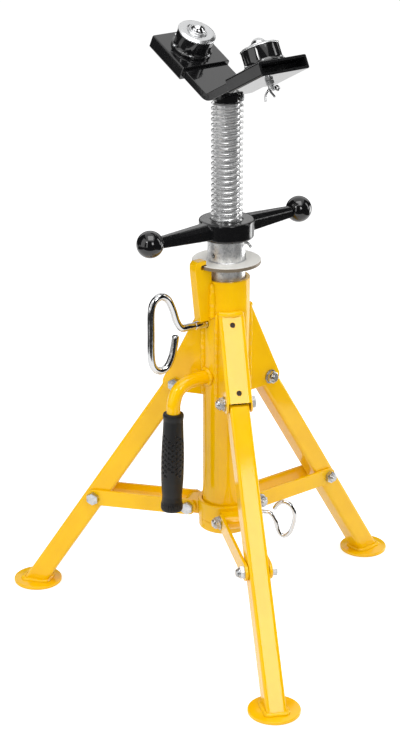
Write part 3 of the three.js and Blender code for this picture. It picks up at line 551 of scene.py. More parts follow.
def chrome_finish(name, smoothest):
    paint = finish_of(name, (0.65, 0.655, 0.66), Metallic=1.0)
    ramp(paint, "Roughness", noise(paint, 240.0), (0.3, smoothest), (0.75, smoothest + 0.07))
    bump(paint, noise(paint, 260.0, 1.0), 0.003)
    return paint.material


zinc = zinc_finish("bright_zinc", (0.42, 0.43, 0.44), (0.62, 0.62, 0.62), 0.2, 0.92)
thread_zinc = zinc_finish("oiled_thread", (0.7, 0.705, 0.71), (0.96, 0.96, 0.96), 0.12, 0.76)
chrome = chrome_finish("chrome_plate", 0.09)
satin = chrome_finish("satin_steel", 0.24)
print("made", zinc.name, thread_zinc.name, chrome.name, satin.name)

# %% [markdown]
# Two moulded materials are left. The ball knobs are hard black plastic, polished in the mould,
# and the carry grip is matt rubber with a dusty sheen. A linked value would be lost on a sheen
# socket when the model is exported, so the sheen is set straight on the shader.

# %% Moulded materials
def knob_finish():
    paint = finish_of("polished_black_plastic", (0.005, 0.005, 0.0055), Coat_Weight=0.4)
    ramp(paint, "Roughness", noise(paint, 120.0), (0.3, 0.07), (0.7, 0.13))
    bump(paint, noise(paint, 200.0, 1.0), 0.01)
    return paint.material


def rubber_finish():
    paint = finish_of("matt_black_rubber", (0.005, 0.005, 0.0055), Specular_IOR_Level=0.35,
                      Sheen_Weight=0.03, Sheen_Roughness=0.5)
    ramp(paint, "Roughness", noise(paint, 80.0), (0.3, 0.36), (0.7, 0.46))
    bump(paint, noise(paint, 1500.0), 0.03)
    return paint.material


knob_plastic = knob_finish()
rubber = rubber_finish()
print("made", knob_plastic.name, "and", rubber.name)

# %% [markdown]
# The column is a length of thick pipe with a stop ring welded round its foot. Two holes go
# through its wall, one for the height pin and one for the leg lock pin. A turned ring with
# rounded edges and two boolean drills makes it exactly as a lathe and a drill press would.

# %% Column
GAP = 0.3
PIPE_R, PIPE_BORE = 30.15, 25.15
PIPE_LOW, PIPE_TOP = 128, 475
STOP_R, STOP_H = 35, 14
PIN_AZIMUTH, PIN_Z, PIN_HOLE_R = azimuth_of("height_pin"), 416, 6.0
LOCK_AZIMUTH, LUG_Z, LOCK_HOLE_R = azimuth_of("leg_lock_pin"), 152, 3.4
SEAT_H = 600
SMALL_SIDES = 32


def painted(name, mesh, place, body, stands_for=(), flats=True):
    """A piece in yellow powder coat."""
    return add(name, mesh, place, yellow, body, stands_for, flats)


def drilled(azimuth, z, radius):
    """A drill that reaches out from the axis at an azimuth."""
    return moved(set_at(lying(rod(radius, 0, 3 * PIPE_R, sides=SMALL_SIDES)), z=z), spun(azimuth))


def pipe_seat(gap=GAP):
    """What is cut from a plate so that it sits on the pipe."""
    return rod(PIPE_R + gap, 0, SEAT_H)


pipe = tube(PIPE_BORE, PIPE_R, PIPE_LOW, PIPE_TOP, edge=0.8)
pipe = worked(pipe, drilled(PIN_AZIMUTH, PIN_Z, PIN_HOLE_R), drilled(LOCK_AZIMUTH, LUG_Z, LOCK_HOLE_R))
painted("column", pipe, COLUMN, "root", ["column_tube"])
stop = tube(PIPE_R + GAP, STOP_R, PIPE_LOW, PIPE_LOW + STOP_H, edge=1.6)
painted("stop_ring_turned", stop, COLUMN, "root", ["stop_ring"], flats=False)
print("column", len(pipe.polygons), "faces")

# %% [markdown]
# Weld beads tell a real fabrication from a drawing. A bead is a row of overlapping puddles, so
# it can be swept as a bar whose thickness swells and shrinks along the seam. Sums of sines with
# unrelated periods give the unevenness, which keeps the bead the same on every run.

# %% Weld beads
SWELLS = [(1.1, 0.0, 0.06), (0.43, 1.3, 0.09), (0.17, 0.0, 0.06)]  # rate, start and share of the size
END_SIZE, END_GROWTH = 0.35, 0.3
SEAM_STEP = 1.6
BEAD_SIDES = 12


def bead(name, route, size, place, body, closed=False):
    """A lumpy weld bead along a route of close points."""
    def swell(i):
        wave = sum(math.sin(i * rate + start) * share for rate, start, share in SWELLS)
        end = 1.0 if closed else min(1.0, END_SIZE + END_GROWTH * min(i, len(route) - 1 - i))
        return size * (1 + wave) * end
    return painted(name, sweep(route, swell, BEAD_SIDES, closed), place, body, flats=False)


def seam(*points):
    """Close points along straight runs between corners."""
    points = [Vector(p) for p in points]
    route = []
    for a, b in zip(points, points[1:]):
        count = max(2, int((b - a).length / SEAM_STEP))
        route += [a.lerp(b, k / count) for k in range(count)]
    return route + [points[-1]]


def upright_seam(edge_y, out, low, high):
    """A seam up the pipe beside a plate, a little out from the pipe's skin."""
    root_r = math.sqrt(PIPE_R ** 2 - edge_y ** 2) + out
    return seam((root_r, edge_y, low), (root_r, edge_y, high))


print("a 100 mm seam has", len(seam((0, 0, 0), (100, 0, 0))), "points")

# %% [markdown]
# The lock hook is a thick plate cut with a slot near its top. The mast's flange disc turns
# into the slot and locks the mast down for carrying. It is one outline pushed through 13 mm,
# trimmed where it sits on the pipe, with a heavy weld down each side.

# %% Lock hook
HOOK_AZIMUTH = azimuth_of("lock_hook")
HOOK_THICK = 13
HOOK_LOW, HOOK_TOP = 424, 504.3
HOOK_FOOT, HOOK_REACH, HOOK_LIP = 47, 55, 38
HOOK_SHOULDER, HOOK_CHAMFER = 12, 4
SLOT_LOW, SLOT_HIGH, SLOT_END = 492.7, 498.8, 46.5
HOOK_WELD, HOOK_WELD_LOW, HOOK_WELD_HIGH = 4.4, 426, 473


def hook_outline():
    round_r = (SLOT_HIGH - SLOT_LOW) / 2
    slot_end = arc((SLOT_END - round_r, SLOT_LOW + round_r), round_r, 90, -90, 12)
    return [(PIPE_BORE, HOOK_LOW), (HOOK_FOOT, HOOK_LOW), (HOOK_REACH, HOOK_TOP - HOOK_SHOULDER),
            (HOOK_REACH, HOOK_TOP - HOOK_CHAMFER), (HOOK_REACH - HOOK_CHAMFER, HOOK_TOP),
            (HOOK_LIP, HOOK_TOP), (HOOK_LIP, SLOT_HIGH), *slot_end, (PIPE_BORE, SLOT_LOW)]


hook = worked(plate(hook_outline(), HOOK_THICK, 0.9), pipe_seat())
painted("hook_plate", hook, facing(HOOK_AZIMUTH), "root", ["lock_hook"])
for side, word in ((-1, "left"), (1, "right")):
    route = upright_seam(side * (HOOK_THICK / 2 + 1.2), 0.6, HOOK_WELD_LOW, HOOK_WELD_HIGH)
    bead(f"hook_weld_{word}", route, HOOK_WELD, facing(HOOK_AZIMUTH), "root")
print("hook", len(hook.polygons), "faces")

# %% [markdown]
# Each leg hangs in a bracket bent from thin plate: two side plates and a sloping web, with a
# round bend along each edge of the web. The outside and the hollow are made as two wedges, each
# with its own bend radius, so that subtracting one from the other leaves an even plate.

# %% Bracket wedges
PIVOT_R, PIVOT_Z = 64, 326
BRACKET_HALF, BRACKET_PLATE = 16.7, 2.2
BRACKET_LOW, BRACKET_TOP = 316, 434
WEB_FOOT, WEB_TOP = Vector((81, 332)), Vector((32.15, 431))
WEB_SLOPE = math.atan2(WEB_FOOT.x - WEB_TOP.x, WEB_TOP.y - WEB_FOOT.y)
INNER_BEND = 3
BEHIND_AXIS, PAST_FOOT, BELOW_MOUTH = -3, 150, 200
LONG_EDGE, SAME_SIDE = 5, 0.1


def wedge(outline, width, bend_from, bend):
    """A wedge whose long sloping edges are rounded by a bend radius."""
    form = bmesh.new()
    form.from_mesh(plate(outline, width, 0))

    def on_slope(edge):
        a, b = (v.co for v in edge.verts)
        upper = all(spot.x > bend_from and spot.z > WEB_FOOT.y - 1 for spot in (a, b))
        return upper and abs(a.y - b.y) < SAME_SIDE and abs(a.z - b.z) > LONG_EDGE
    bevelled(form, [e for e in form.edges if on_slope(e)], bend, 6)
    return mesh_from(form)


def hollow_wedge(skin):
    """A bracket's hollow, left smaller than the plates by a skin."""
    inset = (BRACKET_PLATE + skin) / math.cos(WEB_SLOPE)
    climb = WEB_FOOT.y + (WEB_FOOT.x - inset) / math.tan(WEB_SLOPE)
    outline = [(BEHIND_AXIS, BELOW_MOUTH), (PAST_FOOT, BELOW_MOUTH), (PAST_FOOT, WEB_FOOT.y),
               (WEB_FOOT.x - inset, WEB_FOOT.y), (0, climb), (BEHIND_AXIS, climb)]
    return wedge(outline, 2 * (BRACKET_HALF - BRACKET_PLATE) - 2 * skin, BEHIND_AXIS - 2, INNER_BEND)


print("web slopes", round(math.degrees(WEB_SLOPE), 1), "degrees from upright")

# %% [markdown]
# Inside a bracket the hollow lies in deep shade, which is why its mouth and its web holes read
# as black. A thin dark skin just inside the plates paints that shade on. It is one hollow less a
# slightly smaller one, kept above the mouth.

# %% Bracket shade skins, painted shade
SHADE_SKIN_OUT, SHADE_SKIN_IN = 0.05, 0.35
SHADE_SKIN_KEPT = [(20, 338), (60, 338), (60, 333), (100, 333), (100, 500), (20, 500)]
PIVOT_ROOM = 11
BOLT_R = 5
BOLT_HOLE_R = BOLT_R + GAP
BOLT_SIDES = 40


def bolt_drill(reach, radius=BOLT_HOLE_R):
    return across(rod(radius, -reach, reach, sides=BOLT_SIDES))


def shade_skin_form():
    """The thin inside skin of a bracket, painted dark as shade."""
    skin = worked(hollow_wedge(SHADE_SKIN_OUT), hollow_wedge(SHADE_SKIN_IN), pipe_seat(2 * GAP),
                  set_at(bolt_drill(40, PIVOT_ROOM), PIVOT_R, 0, PIVOT_Z))
    return worked(skin, plate(SHADE_SKIN_KEPT, 60, 0), how="INTERSECT")


shade_skin = shade_skin_form()
# Dark brown paint on the skin is painted shade for the bracket's hollow.
inside_shade_paint = finish_of("painted_shade_inside", (0.03, 0.018, 0.008)).material
print("shade_skin", len(shade_skin.polygons), "faces")

# %% [markdown]
# With the wedges in hand the bracket is a few cuts: the hollow, the pipe's seat, the pivot hole
# and two small holes in the web. Its lower corner is an arc. Welds run up both sides of the
# pipe, and a third one caps the top.

# %% Leg brackets
IN_PIPE, BRACKET_HEAD = 20, 27.15
BRACKET_CORNER, OUTER_BEND, BEND_FROM = 10, 5, 26
WEB_HOLE_R, LOW_INSET, HIGH_INSET = 3.5, 13, 11
CAP_WELD_R = 31.4


def bracket_form():
    corner_at = (WEB_FOOT.x - BRACKET_CORNER, BRACKET_LOW + BRACKET_CORNER)
    outside = [(IN_PIPE, BRACKET_LOW), *arc(corner_at, BRACKET_CORNER, -90, 0, 9), WEB_FOOT, WEB_TOP,
               (BRACKET_HEAD, BRACKET_TOP), (IN_PIPE, BRACKET_TOP)]
    slope = Vector((-math.sin(WEB_SLOPE), math.cos(WEB_SLOPE)))
    web_drill = moved(lying(rod(WEB_HOLE_R, -9, 9, sides=SMALL_SIDES)), Matrix.Rotation(-WEB_SLOPE, 4, "Y"))
    spots = [WEB_FOOT + slope * along for along in (LOW_INSET, (WEB_TOP - WEB_FOOT).length - HIGH_INSET)]
    return worked(wedge(outside, 2 * BRACKET_HALF, BEND_FROM, OUTER_BEND), hollow_wedge(0), pipe_seat(),
                  set_at(bolt_drill(40), PIVOT_R, 0, PIVOT_Z),
                  *[set_at(web_drill, spot.x, 0, spot.y) for spot in spots])


bracket = bracket_form()
for leg, azimuth in LEGS.items():
    # Each bracket's dark inner skin is painted shade.
    add(f"bracket_shade_skin_{leg}", shade_skin, facing(azimuth), inside_shade_paint, "root")
    painted(f"bracket_{leg}", bracket, facing(azimuth), "root", [f"leg_bracket_{leg}"])
    for side, word in ((-1, "a"), (1, "b")):
        route = upright_seam(side * (BRACKET_HALF + 0.9), 0.5, BRACKET_LOW + 2, BRACKET_TOP - 1)
        bead(f"bracket_weld_{leg}_{word}", route, 3.4, facing(azimuth), "root")
    turns = [math.radians(a) for a in range(-34, 35, 3)]
    cap = [Vector((CAP_WELD_R * math.cos(a), CAP_WELD_R * math.sin(a), BRACKET_TOP - 0.5)) for a in turns]
    bead(f"bracket_cap_weld_{leg}", cap, 3.9, facing(azimuth), "root")
print("brackets", len(bracket.polygons), "faces each")

# %% [markdown]
# The legs are rectangular tube with rounded corners. The top end is rounded over so that it can
# swing inside its bracket, and the foot is cut level and welded to a round plate. The tube is
# drawn about its pivot, upright, and then tipped outwards.

# %% Legs and feet
LEG_DEPTH, LEG_WIDTH, LEG_WALL, LEG_CORNER, LEG_INNER_CORNER = 28, 26, 2.5, 4.5, 2.5
LEG_SPREAD = 212
LEG_TILT = math.atan2(LEG_SPREAD, PIVOT_Z)
LEG_SHOULDER = [(LEG_DEPTH / 2, -7.5), (12.6, -6.4), (10.8, -3.5), (9.6, 1), (7.2, 7), (4.5, 11)]
BRACE_ALONG = 214
FOOT_R, FOOT_H = 33, 4.5
FOOT_SPOT = PIVOT_R + LEG_SPREAD - FOOT_H * math.tan(LEG_TILT)
FOOT_WELD, WELD_ROOM = 3.3, 1.5


def leg_form():
    half = LEG_DEPTH / 2
    length = PIVOT_Z / math.cos(LEG_TILT) + LEG_DEPTH
    over = arc((0, 0), half, 90, 180, 15)
    side = plate([(-half, -length), (half, -length), *LEG_SHOULDER, *over], 2 * LEG_WIDTH, 0)
    section = rounded_box(LEG_DEPTH, LEG_WIDTH, LEG_CORNER, 8)
    bar = worked(prism(section, -length, LEG_DEPTH), side, how="INTERSECT")
    inside = rounded_box(LEG_DEPTH - 2 * LEG_WALL, LEG_WIDTH - 2 * LEG_WALL, LEG_INNER_CORNER)
    drill = bolt_drill(30)
    bar = worked(bar, prism(inside, -2 * length, 60), drill, set_at(drill, z=-BRACE_ALONG))
    tipped = Matrix.Translation((PIVOT_R, 0, PIVOT_Z)) @ Matrix.Rotation(-LEG_TILT, 4, "Y")
    floor_cut = prism(box_outline(-SEAT_H, SEAT_H, 60), -100, FOOT_H + GAP)
    return worked(moved(bar, tipped), floor_cut)


leg_bar = leg_form()
foot_profile = softened([(0, 0), (FOOT_R, 0), (FOOT_R, FOOT_H), (0, FOOT_H)], 1.3, 4)
foot_plate = set_at(lathe(foot_profile), FOOT_SPOT)
weld_ring = rounded_box(LEG_DEPTH / math.cos(LEG_TILT) + WELD_ROOM, LEG_WIDTH + WELD_ROOM, 5, 5)
weld_points = [(FOOT_SPOT + x, y, FOOT_H + 0.6) for x, y in weld_ring]
for leg, azimuth in LEGS.items():
    painted(f"leg_bar_{leg}", leg_bar, facing(azimuth), f"leg_{leg}", [f"leg_tube_{leg}"])
    painted(f"foot_{leg}", foot_plate, facing(azimuth), f"leg_{leg}", [f"foot_plate_{leg}"], flats=False)
    route = seam(*weld_points, weld_points[0])[:-1]
    bead(f"foot_weld_{leg}", route, FOOT_WELD, facing(azimuth), f"leg_{leg}", closed=True)
print("legs", len(leg_bar.polygons), "faces each")

# %% [markdown]
# Every pivot is a zinc hex bolt with a washer and a locking nut. A bolt head is a hexagon whose
# corners were turned off on a cone, so the hexagon is kept inside a turned blank. The bolt's
# end shows real thread ridges, which are plain rings, since a helix this small cannot be told
# from them.

# %% Hexagons and bolt ends
HEX_R, HEAD_H, NUT_H = 8.6, 6.3, 7
BOLT_PITCH, BOLT_ROOT, BOLT_TIP = 1.25, 0.6, 0.8


def hexagon(radius, low, high, top_chamfer=1.0, bottom_chamfer=0.0):
    """A hex blank with its corners turned off."""
    turns = [math.pi * (k + 0.5) / 3 for k in range(6)]
    points = [(radius * math.cos(a), radius * math.sin(a)) for a in turns]
    wide = radius + 0.3
    turned = [(0, low), (radius - 3 * bottom_chamfer, low), (wide, low + 1.6 * bottom_chamfer + 0.01),
              (wide, high - 0.6 * top_chamfer), (radius - 1.8 * top_chamfer, high), (0, high)]
    return worked(prism(points, low, high), lathe(turned, 48), how="INTERSECT")


def bolt_end(low, high):
    """A threaded end: rings of thread with a chamfered tip."""
    root_r = BOLT_R - BOLT_ROOT
    profile = [(0, low), (BOLT_R - 1.2, low), (BOLT_R - 0.4, low + BOLT_TIP)]
    z = low + BOLT_TIP
    while z + BOLT_PITCH < high:
        profile += [(BOLT_R, z + 0.5), (BOLT_R, z + 0.75), (root_r, z + BOLT_PITCH)]
        z += BOLT_PITCH
    return lathe(profile + [(root_r, high), (0, high)], BOLT_SIDES)


print("hexagons", round(HEX_R * math.sqrt(3), 1), "mm across flats")

# %% [markdown]
# Head, shank and threaded end make the bolt; washer, hexagon and a domed locking collar make the
# nut. Both are drawn about their own axis from the half width of what they clamp, so the same
# two functions serve the leg pivots here and the collar's lugs later.

# %% Pivot bolts and nuts
WASHER_R, WASHER_H = 9.4, 1.6
DOME_R, DOME_EDGE = HEX_R - 2.0, 0.9
NUT_CHAMFERS = 0.6, 0.8
HEX_SHARE, DOME_SHARE = 0.8, 0.7


def bolt_form(half):
    """Shank and head, with the head on +y and the threaded end on -y."""
    face = half + GAP
    tip = -half - GAP - WASHER_H - NUT_H - 2
    shank = rod(BOLT_R, -half + 4, face + 1, sides=BOLT_SIDES)
    return across(together(hexagon(HEX_R, face, face + HEAD_H), shank, bolt_end(tip, -half + 4)))


def nut_form(half):
    face = -half - GAP
    seat = face - WASHER_H
    washer = tube(BOLT_HOLE_R, WASHER_R, seat, face, 0.3, 48)
    body = worked(hexagon(HEX_R, seat - HEX_SHARE * NUT_H, seat, *NUT_CHAMFERS),
                  rod(BOLT_HOLE_R, face - 30, face + 30, sides=BOLT_SIDES))
    dome = tube(BOLT_HOLE_R, DOME_R, seat - NUT_H, seat - DOME_SHARE * NUT_H, DOME_EDGE, BOLT_SIDES)
    return across(together(washer, body, dome))


def plated(name, mesh, place, body, stands_for=(), flats=True):
    """A piece in bright zinc."""
    return add(name, mesh, place, zinc, body, stands_for, flats)


def bolt_pair(names, half, x, z, azimuth, body, nodes):
    for name, form, node in zip(names, (bolt_form(half), nut_form(half)), nodes):
        plated(name, set_at(form, x, 0, z), facing(azimuth), body, [node])


for leg, azimuth in LEGS.items():
    bolt_pair([f"pivot_bolt_{leg}", f"pivot_nut_{leg}"], BRACKET_HALF, PIVOT_R, PIVOT_Z, azimuth, "root",
              [f"leg_pivot_bolt_{leg}", f"leg_pivot_nut_{leg}"])
print("pivot bolts done")

# %% [markdown]
# The collar slides on the column and carries three lugs. It is a turned ring with its lugs
# joined on by a boolean, so that ring and lugs are one skin, and a last drill opens the hole for
# the leg lock pin.

# %% Collar
COLLAR_BORE, COLLAR_OUT = 30.75, 36
COLLAR_LOW, COLLAR_HIGH = 142.3, 166.8
LUG_R, LUG_END, LUG_ROOT = 47, 9.5, 33.5
STRAP_R, STRAP_T = 11, 4
STRAP_IN = LEG_WIDTH / 2 + 0.5
STRAP_OUT = STRAP_IN + STRAP_T


def collar_form():
    section = [(COLLAR_BORE, COLLAR_LOW), (COLLAR_OUT, COLLAR_LOW), (COLLAR_OUT, COLLAR_HIGH),
               (COLLAR_BORE, COLLAR_HIGH)]
    end = arc((LUG_R, LUG_Z), LUG_END, -90, 90)
    outline = [(LUG_ROOT, LUG_Z - LUG_END), *end, (LUG_ROOT, LUG_Z + LUG_END)]
    ear = worked(plate(outline, 2 * (STRAP_IN - GAP), 0.8), set_at(bolt_drill(30), LUG_R, 0, LUG_Z))
    ears = [moved(ear, spun(azimuth)) for azimuth in LEGS.values()]
    ring = worked(closed_lathe(section, 1.3, 4), *ears, how="UNION")
    return worked(ring, drilled(LOCK_AZIMUTH, LUG_Z, LOCK_HOLE_R))


painted("collar_ring", collar_form(), COLUMN, "collar", ["collar"])
print("collar", COLLAR_HIGH - COLLAR_LOW, "mm tall")

# %% [markdown]
# From each lug two flat straps run to the leg, so pushing the collar up draws the legs in. A
# strap is plate with round ends and two holes, drawn flat and tilted into place. The bolt at the
# leg rides on the straps, its head on one and its nut on the other, and a whole bolt joins both
# straps to the lug.

# %% Braces
BRACE_FOOT = Vector((PIVOT_R + BRACE_ALONG * math.sin(LEG_TILT),
                     PIVOT_Z - BRACE_ALONG * math.cos(LEG_TILT)))
BRACE_RUN = BRACE_FOOT - Vector((LUG_R, LUG_Z))
BRACE_SLOPE = math.atan2(BRACE_RUN.y, BRACE_RUN.x)


def strap_form(side):
    length = BRACE_RUN.length
    outline = [*arc((0, 0), STRAP_R, 90, 270), *arc((length, 0), STRAP_R, -90, 90)]
    drill = bolt_drill(12)
    bar = worked(plate(outline, STRAP_T, 0.6), drill, set_at(drill, length))
    tilt = Matrix.Rotation(-BRACE_SLOPE, 4, "Y")
    return moved(bar, Matrix.Translation((LUG_R, side * (STRAP_IN + STRAP_T / 2), LUG_Z)) @ tilt)


def brace_head_form():
    face = STRAP_OUT + GAP
    shank = rod(BOLT_R, STRAP_IN + GAP, face + 1, sides=BOLT_SIDES)
    return across(together(hexagon(HEX_R, face, face + HEAD_H), shank))


def brace_nut_form():
    face = -STRAP_OUT - GAP
    body = hexagon(HEX_R, face - HEX_SHARE * NUT_H, face, *NUT_CHAMFERS)
    dome = tube(BOLT_R, DOME_R, face - NUT_H, face - DOME_SHARE * NUT_H, DOME_EDGE, BOLT_SIDES)
    return across(together(body, dome, bolt_end(face - NUT_H - 3, -STRAP_IN - GAP)))


for leg, azimuth in LEGS.items():
    place, body = facing(azimuth), f"brace_{leg}"
    for side, word in ((1, "a"), (-1, "b")):
        painted(f"brace_strap_{leg}_{word}", strap_form(side), place, body, [f"strap_{leg}_{word}"])
    for word, form in (("head", brace_head_form()), ("nut", brace_nut_form())):
        form = set_at(form, BRACE_FOOT.x, 0, BRACE_FOOT.y)
        plated(f"brace_{word}_{leg}", form, place, body, [f"brace_bolt_{word}_{leg}"])
    bolt_pair([f"lug_bolt_{leg}", f"lug_nut_{leg}"], STRAP_OUT, LUG_R, LUG_Z, azimuth, "collar",
              [f"collar_bolt_{leg}", f"collar_nut_{leg}"])
print("brace slope", round(math.degrees(BRACE_SLOPE), 2), "degrees")

# %% [markdown]
# The carry handle is one bent tube off the column with a rubber grip pushed over its hanging
# end. The bend follows a smooth curve through a few chosen points, and a ring of weld joins it
# to the pipe.

# %% Carry handle
CARRY_AZIMUTH = 214
CARRY_Z, CARRY_R = 344, 9
CARRY_POINTS = [(27, 0, 344), (42, 0, 344), (61, 0, 341.5), (74, 0, 333), (79.6, 0, 319), (80.6, 0, 305),
                (81.6, 0, 264)]
ROUTE_STEPS = 12
HOOP_R, HOOP_STEPS, HOOP_OUT = 9.9, 40, 0.7

carry_bar = sweep(smooth_route(CARRY_POINTS, ROUTE_STEPS), CARRY_R, 32)
painted("carry_tube", carry_bar, facing(CARRY_AZIMUTH), "root", ["carry_handle"], flats=False)
hoop = []
for turn in ring_turns(HOOP_STEPS):
    y = HOOP_R * math.cos(turn)
    hoop.append(Vector((math.sqrt(PIPE_R ** 2 - y ** 2) + HOOP_OUT, y, CARRY_Z + HOOP_R * math.sin(turn))))
bead("carry_weld", hoop, 3.0, facing(CARRY_AZIMUTH), "root", closed=True)
print("carry handle bends through", len(CARRY_POINTS), "points")

# %% [markdown]
# The grip is moulded rubber: a swelling barrel with a rolled rim at the top, rows of small
# round dimples in a diamond patch, and a ribbed collar at the lower end. Dimples in a bump map
# would vanish at the outline, so each point of a fine turned mesh is pushed in by a formula.

# %% Grip profile, dimples and ribs
GRIP_PROFILE = [(0, 11.0), (0.8, 12.8), (3, 13.6), (6, 13.4), (10, 12.8), (30, 13.6), (46, 14.4),
                (62, 14.8), (80, 14.8), (94, 14.5), (109, 13.5), (115, 12.9), (122, 13.2), (127, 14.3),
                (132, 14.4), (135, 13.7), (136, 11.6)]  # distance from the top and radius
DIMPLE_ROWS, DIMPLE_COLUMNS = 16, 9
DIMPLE_START, DIMPLE_PITCH, DIMPLE_R, DIMPLE_DEEP = 29, 3.65, 2.05, 1.8
SPARSE_ROWS = 2
RIB_FROM, RIB_TO, RIB_COUNT, RIB_DEEP = 123, 134, 26, 0.9


def grip_radius(along):
    for (a, low), (b, high) in zip(GRIP_PROFILE, GRIP_PROFILE[1:]):
        if along <= b:
            return low + (high - low) * ((along - a) / (b - a))
    return GRIP_PROFILE[-1][1]


def dimple_depth(along, turn):
    """How far a point of the barrel is pushed in by the dimples near it."""
    above = math.floor((along - DIMPLE_START) / DIMPLE_PITCH)
    deepest = 0.0
    for row in (above, above + 1):
        if not 0 <= row < DIMPLE_ROWS:
            continue
        share = turn / (2 * math.pi) * DIMPLE_COLUMNS - 0.5 * (row % 2)
        column = round(share)
        if min(row, DIMPLE_ROWS - 1 - row) < SPARSE_ROWS and column % 2:
            continue
        sideways = (share - column) * 2 * math.pi / DIMPLE_COLUMNS * grip_radius(along)
        far = math.hypot(sideways, along - DIMPLE_START - row * DIMPLE_PITCH) / DIMPLE_R
        deepest = max(deepest, DIMPLE_DEEP * (1 - far ** 6))
    return deepest


def rib_depth(along, turn):
    if not RIB_FROM < along < RIB_TO:
        return 0.0
    fade = math.sin(math.pi * (along - RIB_FROM) / (RIB_TO - RIB_FROM))
    return RIB_DEEP * max(0.0, math.cos(turn * RIB_COUNT)) * fade


print("grip swells to", 2 * max(radius for _, radius in GRIP_PROFILE), "mm")

# %% [markdown]
# The mesh itself is rows of points down the barrel, each at the radius the formulas give. A bore
# goes up inside for the tube, closed a few millimetres above the lower end, so the grip is a
# shell with no open edge. It leans out a little, as the tube's end does.

# %% Rubber grip
GRIP_TOP = Vector((80.6, 0, 305))
GRIP_LEN = 136
GRIP_LEAN = math.atan2(3.4, GRIP_LEN)
GRIP_ROWS, GRIP_SIDES, GRIP_END = 280, 176, 5


def grip_form():
    turns = ring_turns(GRIP_SIDES)
    verts, faces = [], []
    for i in range(GRIP_ROWS + 1):
        along = GRIP_LEN * i / GRIP_ROWS
        for turn in turns:
            radius = grip_radius(along) - dimple_depth(along, turn) - rib_depth(along, turn)
            verts.append((radius * math.cos(turn), radius * math.sin(turn), -along))
    bore_top = len(verts)
    bore_end = bore_top + GRIP_SIDES
    for z in (0, -GRIP_LEN + GRIP_END):
        verts += [((CARRY_R + GAP) * math.cos(turn), (CARRY_R + GAP) * math.sin(turn), z) for turn in turns]
    for start in range(0, GRIP_ROWS * GRIP_SIDES, GRIP_SIDES):
        below = start + GRIP_SIDES
        for k in range(GRIP_SIDES):
            after = (k + 1) % GRIP_SIDES
            faces.append([start + k, below + k, below + after, start + after])
    for k in range(GRIP_SIDES):
        after = (k + 1) % GRIP_SIDES
        faces.append([k, after, bore_top + after, bore_top + k])
        faces.append([bore_top + k, bore_top + after, bore_end + after, bore_end + k])
    faces.append([GRIP_ROWS * GRIP_SIDES + k for k in range(GRIP_SIDES)])
    faces.append([bore_end + k for k in range(GRIP_SIDES)])
    return mesh_of(verts, faces)


lean = Matrix.Translation(GRIP_TOP) @ Matrix.Rotation(-GRIP_LEAN, 4, "Y")
grip = add("rubber_grip", grip_form(), facing(CARRY_AZIMUTH) @ lean, rubber, "root",
           ["handle_grip"])
print("grip", len(grip.data.polygons), "faces")

# %% [markdown]
# The mast is galvanised pipe that slides in the column. A row of holes down one side takes the
# height pin, two small holes sit near its top, and a flange disc is welded round it. The disc
# has a notch that lets it drop past the hook.

# %% Mast
MAST_R, MAST_BORE = 24.15, 20.5
MAST_LOW, MAST_TOP = 165, 523.7
DISC_R, DISC_LOW, DISC_HIGH = 43.8, 493, 498
NOTCH_R, NOTCH_HALF, NOTCH_END = 37.2, 7.5, 60
HOLE_PITCH, HOLE_COUNT = 45, 6
RIVET_R, RIVET_HOLES = 3.2, [(226, 506.5), (-12, 504)]
DISC_WELD_IN, DISC_WELD_OUT = 0.05, 1.2
WASHER_IN, WASHER_OUT, WASHER_LOW, WASHER_TOP = 20.4, 27, 524, 526

holes = [drilled(PIN_AZIMUTH, PIN_Z - k * HOLE_PITCH, PIN_HOLE_R) for k in range(HOLE_COUNT)]
holes += [drilled(azimuth, z, RIVET_R) for azimuth, z in RIVET_HOLES]
mast_pipe = worked(tube(MAST_BORE, MAST_R, MAST_LOW, MAST_TOP, 0.7), *holes)
add("mast_pipe", mast_pipe, COLUMN, galvanised, "mast", ["mast_tube"], flats=True)
notch = prism(box_outline(NOTCH_R, NOTCH_END, NOTCH_HALF), DISC_LOW - 5, DISC_HIGH + 5)
disc = worked(tube(MAST_R + GAP, DISC_R, DISC_LOW, DISC_HIGH, 1.0), moved(notch, spun(HOOK_AZIMUTH)))
add("mast_disc", disc, COLUMN, disc_steel, "mast", ["flange_disc"], flats=True)
weld_corner = (MAST_R + DISC_WELD_IN, DISC_HIGH + DISC_WELD_IN)
weld_section = [weld_corner, (MAST_R + DISC_WELD_OUT, weld_corner[1]),
                (weld_corner[0], DISC_HIGH + DISC_WELD_OUT)]
add("disc_weld", closed_lathe(weld_section, 0.3, 2), COLUMN, galvanised, "mast")
washer = tube(WASHER_IN, WASHER_OUT, WASHER_LOW, WASHER_TOP, 0.4)
plated("nut_washer", washer, COLUMN, "mast", ["thrust_washer"], flats=False)
print("mast holes", len(holes))

# %% [markdown]
# Two chrome pins lock the stand: a thick one with a long loop sets the height, and a thin wire
# one holds the legs open. Both are bent bar. The loops follow the routes of the solid model, so
# they stay where the fingers have room, with more points for a smooth bend.

# %% Locking pins
PIN_SHOULDER, PIN_TIP, PIN_R, PIN_BAR_R, LOCK_R = 46.5, 24.7, 5.4, 4.7, 2.9
PIN_POINTS = [(45.5, 0, 416), (56, 0, 416), (66, 0, 416.5), (73, 0, 426), (79, 0, 444), (86, 0, 458),
              (96, 0, 463.5), (105.5, 0, 458), (109.8, 0, 445), (110.3, 0, 415), (110.3, 0, 386),
              (106.5, 0, 371), (97, 0, 364.5), (87, 0, 368.5), (80.5, 0, 380), (77, 0, 394), (74.6, 0, 408)]
LOCK_POINTS = [(30.6, 0, 152), (40, 0, 152), (52, 0, 152), (62, 0, 151), (69, 0, 142), (73, 0, 129),
               (78, 0, 121.5), (84, 0, 121.5), (90.5, 0, 129), (95, 0, 145), (95, 0, 156), (90, 0, 166),
               (80, 0, 170), (72, 0, 165), (67.5, 0, 158)]
END_SHARES = {0: 0.75, 1: 0.94}


